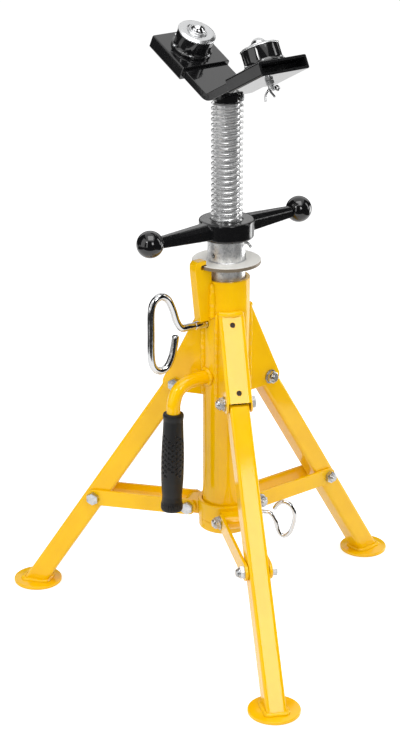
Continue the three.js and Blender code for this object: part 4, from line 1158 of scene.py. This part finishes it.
def bent_pin(points, radius):
    """A bent bar with its free end a little rounded."""
    route = smooth_route(points, ROUTE_STEPS)
    last = len(route) - 1
    return sweep(route, lambda step: radius * END_SHARES.get(last - step, 1.0), 28)


shank = set_at(lying(rod(PIN_R, PIN_TIP, PIN_SHOULDER, 0.9, 48)), z=PIN_Z)
height_loop = worked(bent_pin(PIN_POINTS, PIN_BAR_R), shank, how="UNION")
add("height_pin_loop", height_loop, facing(PIN_AZIMUTH), chrome, "height_pin", ["height_pin"])
lock_loop = bent_pin(LOCK_POINTS, LOCK_R)
add("leg_lock_loop", lock_loop, facing(LOCK_AZIMUTH), chrome, "leg_lock_pin", ["leg_lock_pin"])
print("pins bent through", len(PIN_POINTS), "and", len(LOCK_POINTS), "points")

# %% [markdown]
# The handle nut is a casting: a thick hub and two tapering arms that flow into it, ending in
# ball knobs. Castings have no sharp inside corners, so the joined form is remeshed finely and
# smoothed, which leaves a fillet in every corner just as a mould does.

# %% Handle nut
NUT_AZIMUTH = azimuth_of("knob_right")
HUB_LOW, HUB_H, HUB_BORE = 526.3, 24.7, 20.4
HUB_PROFILE = [(0, 0), (32.3, 0), (34.8, 2.5), (35.2, HUB_H - 1.6), (33.8, HUB_H), (0, HUB_H)]
ARM_MID, ARM_ROOT, ARM_TIP = 14, 26, 106.5
ROOT_SECTION, TIP_SECTION = (25.4, 20.2), (15, 13)
VOXEL, FILLET_ROUNDS = 0.75, 2


def arm_ring(x, width, height):
    y, z, bevel = width / 2, height / 2, height / 3
    outline = [(-y, -z), (y, -z), (y, z - bevel), (y - bevel, z), (bevel - y, z), (-y, z - bevel)]
    return [Vector((x, p.x, ARM_MID + p.y)) for p in softened(outline, 1.2, 3, True)]


def cast_blend(mesh):
    """Remeshes a joined form finely and smooths it, as a casting's fillets."""
    blank = linked("casting", mesh)
    remesh = blank.modifiers.new("fine skin", "REMESH")
    remesh.mode = "VOXEL"
    remesh.voxel_size = VOXEL
    smooth = blank.modifiers.new("fillets", "SMOOTH")
    smooth.factor = 0.5
    smooth.iterations = FILLET_ROUNDS
    result = settled(blank)
    bpy.data.objects.remove(blank)
    return result


cast_arm = lofted(arm_ring(ARM_ROOT, *ROOT_SECTION), arm_ring(ARM_TIP, *TIP_SECTION))
hub = worked(lathe(softened(HUB_PROFILE, 1.0, 3)), cast_arm, moved(cast_arm, spun(180)), how="UNION")
casting = cast_blend(worked(hub, rod(HUB_BORE, -30, 60)))
nut_place = facing(NUT_AZIMUTH) @ Matrix.Translation((0, 0, HUB_LOW))
add("handle_casting", casting, nut_place, cast_black, "handle", ["handle_nut"])
print("casting", len(casting.polygons), "faces")

# %% [markdown]
# Each knob is a ball with a flat where it meets its arm. A turned profile that starts on the
# flat and runs round to the far pole gives a clean ball.

# %% Knobs
KNOB_AT, KNOB_R, KNOB_FACE = 121.5, 17, 6.4
KNOB_FLAT = ARM_TIP + GAP - KNOB_AT
KNOB_STEPS = 40
ARMS = {"right": 0, "left": 180}


def knob_form():
    start = math.asin(KNOB_FLAT / KNOB_R)
    profile = [(0, KNOB_FLAT), (KNOB_FACE, KNOB_FLAT)]
    for k in range(KNOB_STEPS):
        turn = start + (math.pi / 2 - start) * k / KNOB_STEPS
        profile.append((KNOB_R * math.cos(turn), KNOB_R * math.sin(turn)))
    return set_at(lying(lathe([*profile, (0, KNOB_R)], 64)), KNOB_AT, 0, ARM_MID)


for side, turn in ARMS.items():
    place = nut_place @ spun(turn)
    add(f"ball_knob_{side}", knob_form(), place, knob_plastic, "handle", [f"knob_{side}"])
print("knobs", 2 * KNOB_R, "mm across")

# %% [markdown]
# The jack screw has a right-hand trapezoidal thread. A thread could be a bump, but its outline
# shows against the background, so it is a true helix: one profile, a pitch tall, is carried
# round and up. Far points on the axis close the skin, which a blank will trim.

# %% Thread skin
SCREW_R, CORE_R, PITCH = 20, 16.25, 7
FLANK_ANGLE, THREAD_SOFT = math.radians(15), 0.35
TURN_STEPS = 60


def thread_profile():
    """One pitch of the thread as (radius, rise), with softened corners."""
    flank = (SCREW_R - CORE_R) * math.tan(FLANK_ANGLE)
    land = PITCH / 2 - flank
    soft = THREAD_SOFT
    return [(CORE_R, 0.0), (CORE_R, land - soft), (CORE_R + soft, land + 0.1),
            (SCREW_R - soft, land + flank - 0.1), (SCREW_R, land + flank + soft),
            (SCREW_R, PITCH - flank - soft), (SCREW_R - soft, PITCH - flank + 0.1),
            (CORE_R + soft, PITCH - 0.15)]


def thread_skin(low, turns):
    profile = thread_profile()
    wide = len(profile)
    last = TURN_STEPS * turns
    verts, faces = [], []
    for i in range(last + TURN_STEPS + 1):
        turn = 2 * math.pi * i / TURN_STEPS
        climb = PITCH * i / TURN_STEPS
        verts += [(r * math.cos(turn), r * math.sin(turn), low + rise + climb) for r, rise in profile]

    def at(i, j):
        return i * wide + j if j < wide else (i + TURN_STEPS) * wide
    for i in range(last):
        for j in range(wide):
            faces.append([at(i, j), at(i + 1, j), at(i + 1, j + 1), at(i, j + 1)])
    bottom, top = len(verts), len(verts) + 1
    verts += [(0, 0, low - PITCH), (0, 0, low + PITCH * (turns + 3))]
    for k in range(TURN_STEPS):
        faces.append([at(k, 0), bottom, at(k + 1, 0)])
        faces.append([at(last + k, 0), at(last + k + 1, 0), top])
    for j in range(wide):
        faces.append([at(0, j + 1), bottom, at(0, j)])
        faces.append([at(last, j), top, at(last, j + 1)])
    return mesh_of(verts, faces)


print("thread", 2 * SCREW_R, "by", PITCH, "mm")

# %% [markdown]
# A turned blank with chamfered ends trims the helix, as the bar it was cut from would. A plain
# tail is joined on below, inside the mast, and a socket is bored in the top for the head's pin.

# %% Jack screw
SCREW_LOW, THREAD_LOW, SCREW_TOP = 470, 508, 700
BLANK_R, TAIL_R, SOCKET_R, SOCKET_DEEP = 20.5, 19, 12.3, 32.6

thread_turns = math.ceil((SCREW_TOP - THREAD_LOW) / PITCH) + 2
skin = thread_skin(THREAD_LOW - 2 * PITCH, thread_turns)
blank = lathe([(0, THREAD_LOW), (17, THREAD_LOW), (BLANK_R, THREAD_LOW + 3), (BLANK_R, SCREW_TOP - 2.5),
               (18, SCREW_TOP), (0, SCREW_TOP)])
screw = worked(skin, blank, how="INTERSECT")
screw = worked(screw, rod(TAIL_R, SCREW_LOW, THREAD_LOW + 3.5, 1.5), how="UNION")
screw = worked(screw, rod(SOCKET_R, SCREW_TOP - SOCKET_DEEP, SCREW_TOP + 10))
add("threaded_screw", screw, COLUMN, thread_zinc, "screw", ["jack_screw"])
print("screw", len(screw.polygons), "faces")

# %% [markdown]
# The head is a thick flat bar bent into a wide V, on a spigot that turns in the screw's top. The
# bar is the V's section pushed across its width, with a round bend under the crease. The
# spigot's neck is turned and then cut by the same V, so that the two meet all round.

# %% Head bar
HEAD_AZIMUTH = azimuth_of("ball_right")
VEE = math.radians(27.4)
CREASE = 714
VEE_WIDTH, VEE_DEEP, VEE_ARM, VEE_BEND = 67, 10, 98, 12
NECK_PROFILE = [(0, 668.3), (12, 668.3), (12, 700.3), (16, 700.3), (16, 730), (0, 730)]


def on_arm(depth, along):
    """A point of the section, some depth under the arm's top face."""
    x = along * math.cos(VEE) + depth * math.sin(VEE)
    return Vector((x, CREASE + along * math.sin(VEE) - depth * math.cos(VEE)))


def mirrored(point):
    return Vector((-point.x, point.y))


def vee_outline(top, bottom):
    """The V between two depths, with a round bend under its crease."""
    upper, lower = on_arm(top, VEE_ARM), on_arm(bottom, VEE_ARM)
    start = on_arm(bottom, VEE_BEND - bottom * math.tan(VEE))
    heel = Vector((0, CREASE - bottom / math.cos(VEE)))
    under = bend_between(start, heel, mirrored(start), 12)
    crease = Vector((0, CREASE - top / math.cos(VEE)))
    return [mirrored(upper), crease, upper, lower, *under, mirrored(lower)]


bar = plate(vee_outline(0, VEE_DEEP), VEE_WIDTH, 0.9)
add("vee_bar", bar, facing(HEAD_AZIMUTH), gloss_black, "head", ["vee_channel"], flats=True)
neck = worked(lathe(softened(NECK_PROFILE, 0.6, 3)), plate(vee_outline(-40, VEE_DEEP + GAP), VEE_WIDTH, 0))
add("head_neck", neck, facing(HEAD_AZIMUTH), gloss_black, "head", ["head_spigot"])
print("vee opens", round(180 - 2 * math.degrees(VEE), 1), "degrees")

# %% [markdown]
# On each arm a sleeve carries a ball roller. It is a short rectangular tube with rounded
# corners, open at its outer end so that the dark inside shows. Its rims are bevelled before the
# bore is cut, which leaves the inner edge crisp as it is on sawn tube.

# %% Sleeves
SLEEVE_FROM, SLEEVE_TO = 47, 115
SLEEVE_WALL, SLEEVE_CORNER, SLEEVE_RIM = 3.5, 2.6, 0.7
LEVEL = 1e-4


def sleeve_form():
    wide, deep = VEE_WIDTH + 2 * GAP, VEE_DEEP + 2 * GAP
    section = rounded_box(deep + 2 * SLEEVE_WALL, wide + 2 * SLEEVE_WALL, SLEEVE_CORNER, 6)
    form = bmesh.new()
    form.from_mesh(prism(section, SLEEVE_FROM, SLEEVE_TO))
    rim = [e for e in form.edges if abs(e.verts[0].co.z - e.verts[1].co.z) < LEVEL]
    bevelled(form, rim, SLEEVE_RIM)
    inner = prism(rounded_box(deep, wide, 1.5, 4), SLEEVE_FROM - 20, SLEEVE_TO + 20)
    return set_at(lying(worked(mesh_from(form), inner)), z=-VEE_DEEP / 2)


sleeve = sleeve_form()
print("sleeve", SLEEVE_TO - SLEEVE_FROM, "mm long")

# %% [markdown]
# The ball unit is a turned black housing with a flange, a satin cap with a dish and a short neck
# that closes in over the ball, and a steel ball. All three are turned profiles, and the cap's
# bore is worked out from the ball so that a hair of clearance runs round it.

# %% Ball units
UNIT_AT = (SLEEVE_FROM + SLEEVE_TO) / 2
SLEEVE_RISE = GAP + SLEEVE_WALL
UNIT_Z = SLEEVE_RISE + GAP
BALL_R, BALL_Z, BALL_STEPS, BALL_ROOM = 9.6, 25.4, 32, 0.2
HOUSING_PROFILE = [(0, 4), (4.3, 4), (4.3, 0), (26.2, 0), (26.2, 3), (24.4, 3.4), (23.6, 6), (23.6, 22),
                   (10, 22), (10, 15.4), (0, 15.4)]
CAP_LIP, CAP_THROAT, CAP_NECK_WALL = 28.6, 27.2, 2.2


def cap_form():
    def bore(z):
        return math.sqrt(BALL_R ** 2 - (z - BALL_Z) ** 2) + BALL_ROOM
    neck_r = bore(CAP_LIP) + CAP_NECK_WALL
    profile = [(10, 22.3), (24.4, 22.3), (24.4, 23.8), (20.2, 26), (13.9, 26), (neck_r, 24.6),
               (neck_r, CAP_LIP), (bore(CAP_LIP), CAP_LIP), (bore(CAP_THROAT), CAP_THROAT),
               (10, CAP_THROAT)]
    return closed_lathe(profile, 0.8, 5)


def ball_form():
    turns = [-math.pi / 2 + math.pi * k / BALL_STEPS for k in range(BALL_STEPS + 1)]
    profile = [(BALL_R * math.cos(a), BALL_R * math.sin(a)) for a in turns]
    profile[0], profile[-1] = (0, profile[0][1]), (0, profile[-1][1])
    return set_at(lathe(profile, 64), z=BALL_Z)


housing = lathe(softened(HOUSING_PROFILE, 0.6, 3))
print("ball", 2 * BALL_R, "mm across")

# %% [markdown]
# Each unit is held by a stud that goes down through its sleeve to a nut, and six small round
# screw heads sit round its flange. They are turned, and one head is spun round six times. With
# these the head's forms are all there, and a loop sets them down on each arm.

# %% Studs, screws and both arms
STUD_R, STUD_HEX_R, STUD_NUT_H, STUD_DROP, STUD_RISE = 4, 5.4, 4.5, 12.5, 3.7
NUT_TOP = -VEE_DEEP - SLEEVE_RISE - GAP
HEAD_PROFILE = [(0, 3), (2.4, 3), (2.4, 4.6), (0, 5.4)]
HEAD_RING_R, HEAD_TURNS = 25.2, (20, 80, 140, 200, 260, 320)


def stud_form():
    nut = hexagon(STUD_HEX_R, NUT_TOP - STUD_NUT_H, NUT_TOP, 0.5, 0.5)
    low, high = NUT_TOP - STUD_DROP, UNIT_Z + STUD_RISE
    profile = [(0, low), (STUD_R - 1, low), (STUD_R, low + 1), (STUD_R, high), (0, high)]
    return set_at(together(nut, lathe(profile, SMALL_SIDES)), UNIT_AT)


def arm_frame(turn):
    lift = Matrix.Translation((0, 0, CREASE)) @ Matrix.Rotation(-VEE, 4, "Y")
    return facing(HEAD_AZIMUTH + turn) @ lift


screw_head = set_at(lathe(softened(HEAD_PROFILE, 0.3, 2), 20), HEAD_RING_R)
heads = together(*[moved(screw_head, spun(spot)) for spot in HEAD_TURNS])
for side, turn in ARMS.items():
    arm = arm_frame(turn)
    unit = arm @ Matrix.Translation((UNIT_AT, 0, UNIT_Z))
    add(f"sleeve_{side}", sleeve, arm, gloss_black, "head", [f"carrier_{side}"], flats=True)
    add(f"roller_housing_{side}", housing, unit, gloss_black, "head",
        [f"ball_housing_{side}"])
    plated(f"roller_screws_{side}", heads, unit, "head", flats=False)
    add(f"roller_cap_{side}", cap_form(), unit, satin, "head", [f"ball_cap_{side}"])
    add(f"roller_ball_{side}", ball_form(), unit, chrome, f"ball_{side}", [f"ball_{side}"])
    plated(f"roller_stud_{side}", stud_form(), arm, "head", [f"ball_stud_{side}"])
print("ball units at", UNIT_AT, "mm along each arm")

# %% [markdown]
# A few small things finish the head: a split pin through each stud with its legs bent apart, a
# set bolt in the neck, and a bent retaining wire under the handle's hub. They are tiny, but
# they catch the light and say how the head is held together.

# %% Small hardware
SPLIT_R, SPLIT_SIDES, WIRE_STEPS = 1.35, 12, 8
SPLIT_Z = NUT_TOP - 9.5
SPLIT_LEGS = [[(0, 7, 0), (0, 0, 0), (-1, -5, -1), (-5, -8, -6), (-7, -9, -13)],
              [(0, 7, -1.2), (0, 0, -1.2), (2, -5, -3), (8, -8, -8), (12, -9, -13)]]
EYE_Y, EYE_R, EYE_STEPS = 8.5, 2.6, 24
WIRE_R, WIRE_POINTS = 1.8, [(23, 0, 521), (26, 0, 520.5), (29, 0, 518.5), (31.5, 0, 515)]
RIGHT_SIDE, SET_BOLT_Z = -12, 705.5


def split_pin_form():
    wires = []
    for leg_points in SPLIT_LEGS:
        route = smooth_route([(UNIT_AT + x, y, SPLIT_Z + z) for x, y, z in leg_points], WIRE_STEPS)
        wires.append(sweep(route, SPLIT_R, SPLIT_SIDES))
    eye = [Vector((UNIT_AT, EYE_Y + EYE_R * math.cos(a), SPLIT_Z - 0.6 + EYE_R * math.sin(a)))
           for a in ring_turns(EYE_STEPS)]
    return together(*wires, sweep(eye, SPLIT_R, SPLIT_SIDES, closed=True))


for side, turn in ARMS.items():
    add(f"split_pin_{side}", split_pin_form(), arm_frame(turn), chrome, "head")
set_bolt = together(hexagon(4.6, 16.5, 20.5, 0.5), rod(2.6, 14, 17, sides=24))
plated("neck_set_bolt", set_at(lying(set_bolt), z=SET_BOLT_Z), facing(RIGHT_SIDE), "head")
retaining_wire = sweep(smooth_route(WIRE_POINTS, WIRE_STEPS), WIRE_R, 16)
plated("retaining_wire", retaining_wire, facing(RIGHT_SIDE), "mast", flats=False)
print("small hardware done")

# %% [markdown]
# The camera stands where the picture was taken from: a long lens a little above the head,
# tipped down about twenty degrees. A tiny shift centres the stand in the frame without turning
# the camera, which would make the uprights lean.

# %% Camera
LENS, SENSOR = 92.38, 36
CAMERA_BACK, CAMERA_HEIGHT = 2.3047, 1.2416
CAMERA_TIP, CAMERA_TURN = 21.394, 0.795

camera_data = bpy.data.cameras.new("camera")
camera_data.lens = LENS
camera_data.sensor_width = SENSOR
camera_data.shift_x = -0.00153
camera_data.shift_y = 0.00417
camera = linked("camera", camera_data)
camera.location = (AXIS.x, AXIS.y - CAMERA_BACK, CAMERA_HEIGHT)
camera.rotation_euler = (math.radians(90 - CAMERA_TIP), 0, math.radians(CAMERA_TURN))
bpy.context.scene.camera = camera
print("camera at", [round(v, 3) for v in camera.location])

# %% [markdown]
# Plain light means that a colour renders about as it is written. The world gives an even base
# of light, while rays from the camera, mirrors and glass see it as plain white. Two small helpers
# build such switches from the Light Path node.

# %% White world
BASE_LIGHT = 0.55


def math_node(tree, operation, first, second):
    """A Math node whose inputs are sockets to link or plain numbers."""
    node = tree.nodes.new("ShaderNodeMath")
    node.operation = operation
    for socket, value in zip(node.inputs, (first, second)):
        if isinstance(value, (int, float)):
            socket.default_value = value
        else:
            tree.links.new(value, socket)
    return node.outputs[0]


def level_between(tree, share, low, high, socket):
    """Drives a strength from low to high as a share goes from 0 to 1."""
    node = tree.nodes.new("ShaderNodeMapRange")
    node.inputs["To Min"].default_value = low
    node.inputs["To Max"].default_value = high
    tree.links.new(share, node.inputs["Value"])
    tree.links.new(node.outputs["Result"], socket)


world = bpy.data.worlds.new("studio")
world.use_nodes = True
bpy.context.scene.world = world
sky = world.node_tree
background = sky.nodes["Background"]
background.inputs["Color"].default_value = (1, 1, 1, 1)
rays = sky.nodes.new("ShaderNodeLightPath").outputs
seen = math_node(sky, "MAXIMUM", rays["Is Camera Ray"], rays["Is Glossy Ray"])
seen = math_node(sky, "MAXIMUM", seen, rays["Is Transmission Ray"])
level_between(sky, seen, BASE_LIGHT, 1.0, background.inputs["Strength"])
print("world gives", BASE_LIGHT, "of white as light")

# %% [markdown]
# The floor is a large white sheet with no gloss. A little glow, seen by the camera and more
# weakly in reflections, lifts it to the white of the background, and the stand's soft shadow
# still falls on it.

# %% Floor
FLOOR_HALF, FLOOR_Z = 12, -0.0005
FLOOR_GLOW, MIRRORED_GLOW = 0.52, 0.4

floor_mesh = bpy.data.meshes.new("floor")
corners = box_outline(-FLOOR_HALF, FLOOR_HALF, FLOOR_HALF)
floor_mesh.from_pydata([(x, y, 0) for x, y in corners], [], [(0, 1, 2, 3)])
floor = linked("floor", floor_mesh)
floor.location.z = FLOOR_Z
sheet = new_paint("white_floor", (0.9, 0.9, 0.9), Roughness=1.0, Specular_IOR_Level=0.0,
                  Emission_Color=(1, 1, 1, 1))
sheet_tree = sheet.material.node_tree
rays = sheet.nodes.new("ShaderNodeLightPath").outputs
in_mirrors = math_node(sheet_tree, "MULTIPLY", rays["Is Glossy Ray"], MIRRORED_GLOW)
seen = math_node(sheet_tree, "MAXIMUM", rays["Is Camera Ray"], in_mirrors)
level_between(sheet_tree, seen, 0.0, FLOOR_GLOW, sheet.shader.inputs["Emission Strength"])
floor_mesh.materials.append(sheet.material)
print("floor", 2 * FLOOR_HALF, "m wide")

# %% [markdown]
# Large soft lamps shape the stand and give long reflections in the paint. Each looks at the
# middle of the stand from a direction, and its strength is written as radiance, where 1 is as
# bright as white, so that a larger lamp does not look brighter in a reflection.

# %% Lamps
TARGET = Vector((AXIS.x, AXIS.y, 0.35))


def lamp(name, direction, distance, size, radiance):
    """A soft rectangular lamp that looks at the stand."""
    data = bpy.data.lights.new(name, "AREA")
    data.shape = "RECTANGLE"
    data.size, data.size_y = size
    data.energy = radiance * math.pi * size[0] * size[1]
    light = linked(name, data)
    aim = Vector(direction).normalized()
    light.location = TARGET + aim * distance
    light.rotation_euler = (-aim).to_track_quat("-Z", "Y").to_euler()


lamp("key_box", (0.345, -0.82, 0.457), 1.93, (0.42, 0.6), 6.6)
lamp("left_panel", (-0.9, -0.5, 0.5), 2.0, (1.2, 1.9), 1.35)
lamp("right_strip", (0.95, 0.1, 0.4), 2.0, (0.35, 1.5), 3.5)
lamp("low_right", (0.8, 0.5, -0.01), 1.5, (0.5, 0.62), 5.0)
lamp("front_strip", (-0.42, -0.9, 0.3), 2.1, (0.3, 1.5), 2.2)
lamp("left_key", (-0.4, -0.68, 0.6), 2.0, (0.2, 0.25), 18.0)
lamp("top_box", (0.05, -0.3, 1.0), 1.9, (1.2, 1.2), 3.3)
print("lamps look at", [round(v, 3) for v in TARGET])

# %% [markdown]
# Chrome and black paint in an all-white room have no edges. In a studio, dark cards stand round
# the set, just out of view, and their reflections draw the form. Here the cards are seen only in
# reflections: the camera, the shadows and the fill light all pass them by.

# %% Dark cards
CARD_LIFT = 0.002
RIGHTWARD, LEFTWARD, AWAY, NEARER, UPWARD = (1, 0, 0), (-1, 0, 0), (0, 1, 0), (0, -1, 0), (0, 0, 1)


def dark_card(name, centre, size, direction):
    """A black card outside the view that only reflections see."""
    mesh = bpy.data.meshes.new(name)
    corners = box_outline(-size[0] / 2, size[0] / 2, size[1] / 2)
    mesh.from_pydata([(x, 0, z) for x, z in corners], [], [(0, 1, 2, 3)])
    mesh.materials.append(new_paint(name, (0.01, 0.01, 0.01), Roughness=1.0).material)
    card = linked(name, mesh)
    card.location = centre
    card.rotation_euler = Vector(direction).to_track_quat("Y", "Z").to_euler()
    card.visible_camera = False
    card.visible_diffuse = False
    card.visible_shadow = False


def on_floor(x, y):
    return Vector((AXIS.x + x, AXIS.y + y, CARD_LIFT))


dark_card("left_card", TARGET + Vector((-2.4, -0.6, 2.1)), (6.4, 4.0), RIGHTWARD)
dark_card("right_card", TARGET + Vector((2.4, -0.6, 1.6)), (6.4, 4.0), LEFTWARD)
dark_card("front_card", TARGET + Vector((0.0, -3.6, 1.6)), (5.0, 4.0), AWAY)
dark_card("back_card", TARGET + Vector((0.0, 2.6, 0.2)), (5.0, 1.2), NEARER)
dark_card("front_floor_card", on_floor(0, -2.2), (4.8, 2.8), UPWARD)
dark_card("left_floor_card", on_floor(-1.9, -0.2), (1.7, 1.6), UPWARD)
dark_card("right_floor_card", on_floor(1.6, -0.2), (1.7, 1.6), UPWARD)
dark_card("left_low_card", TARGET + Vector((-2.4, 1.45, -0.1)), (2.0, 0.6), RIGHTWARD)

scene = bpy.context.scene
scene.view_settings.view_transform = "Standard"
print("view transform", scene.view_settings.view_transform)
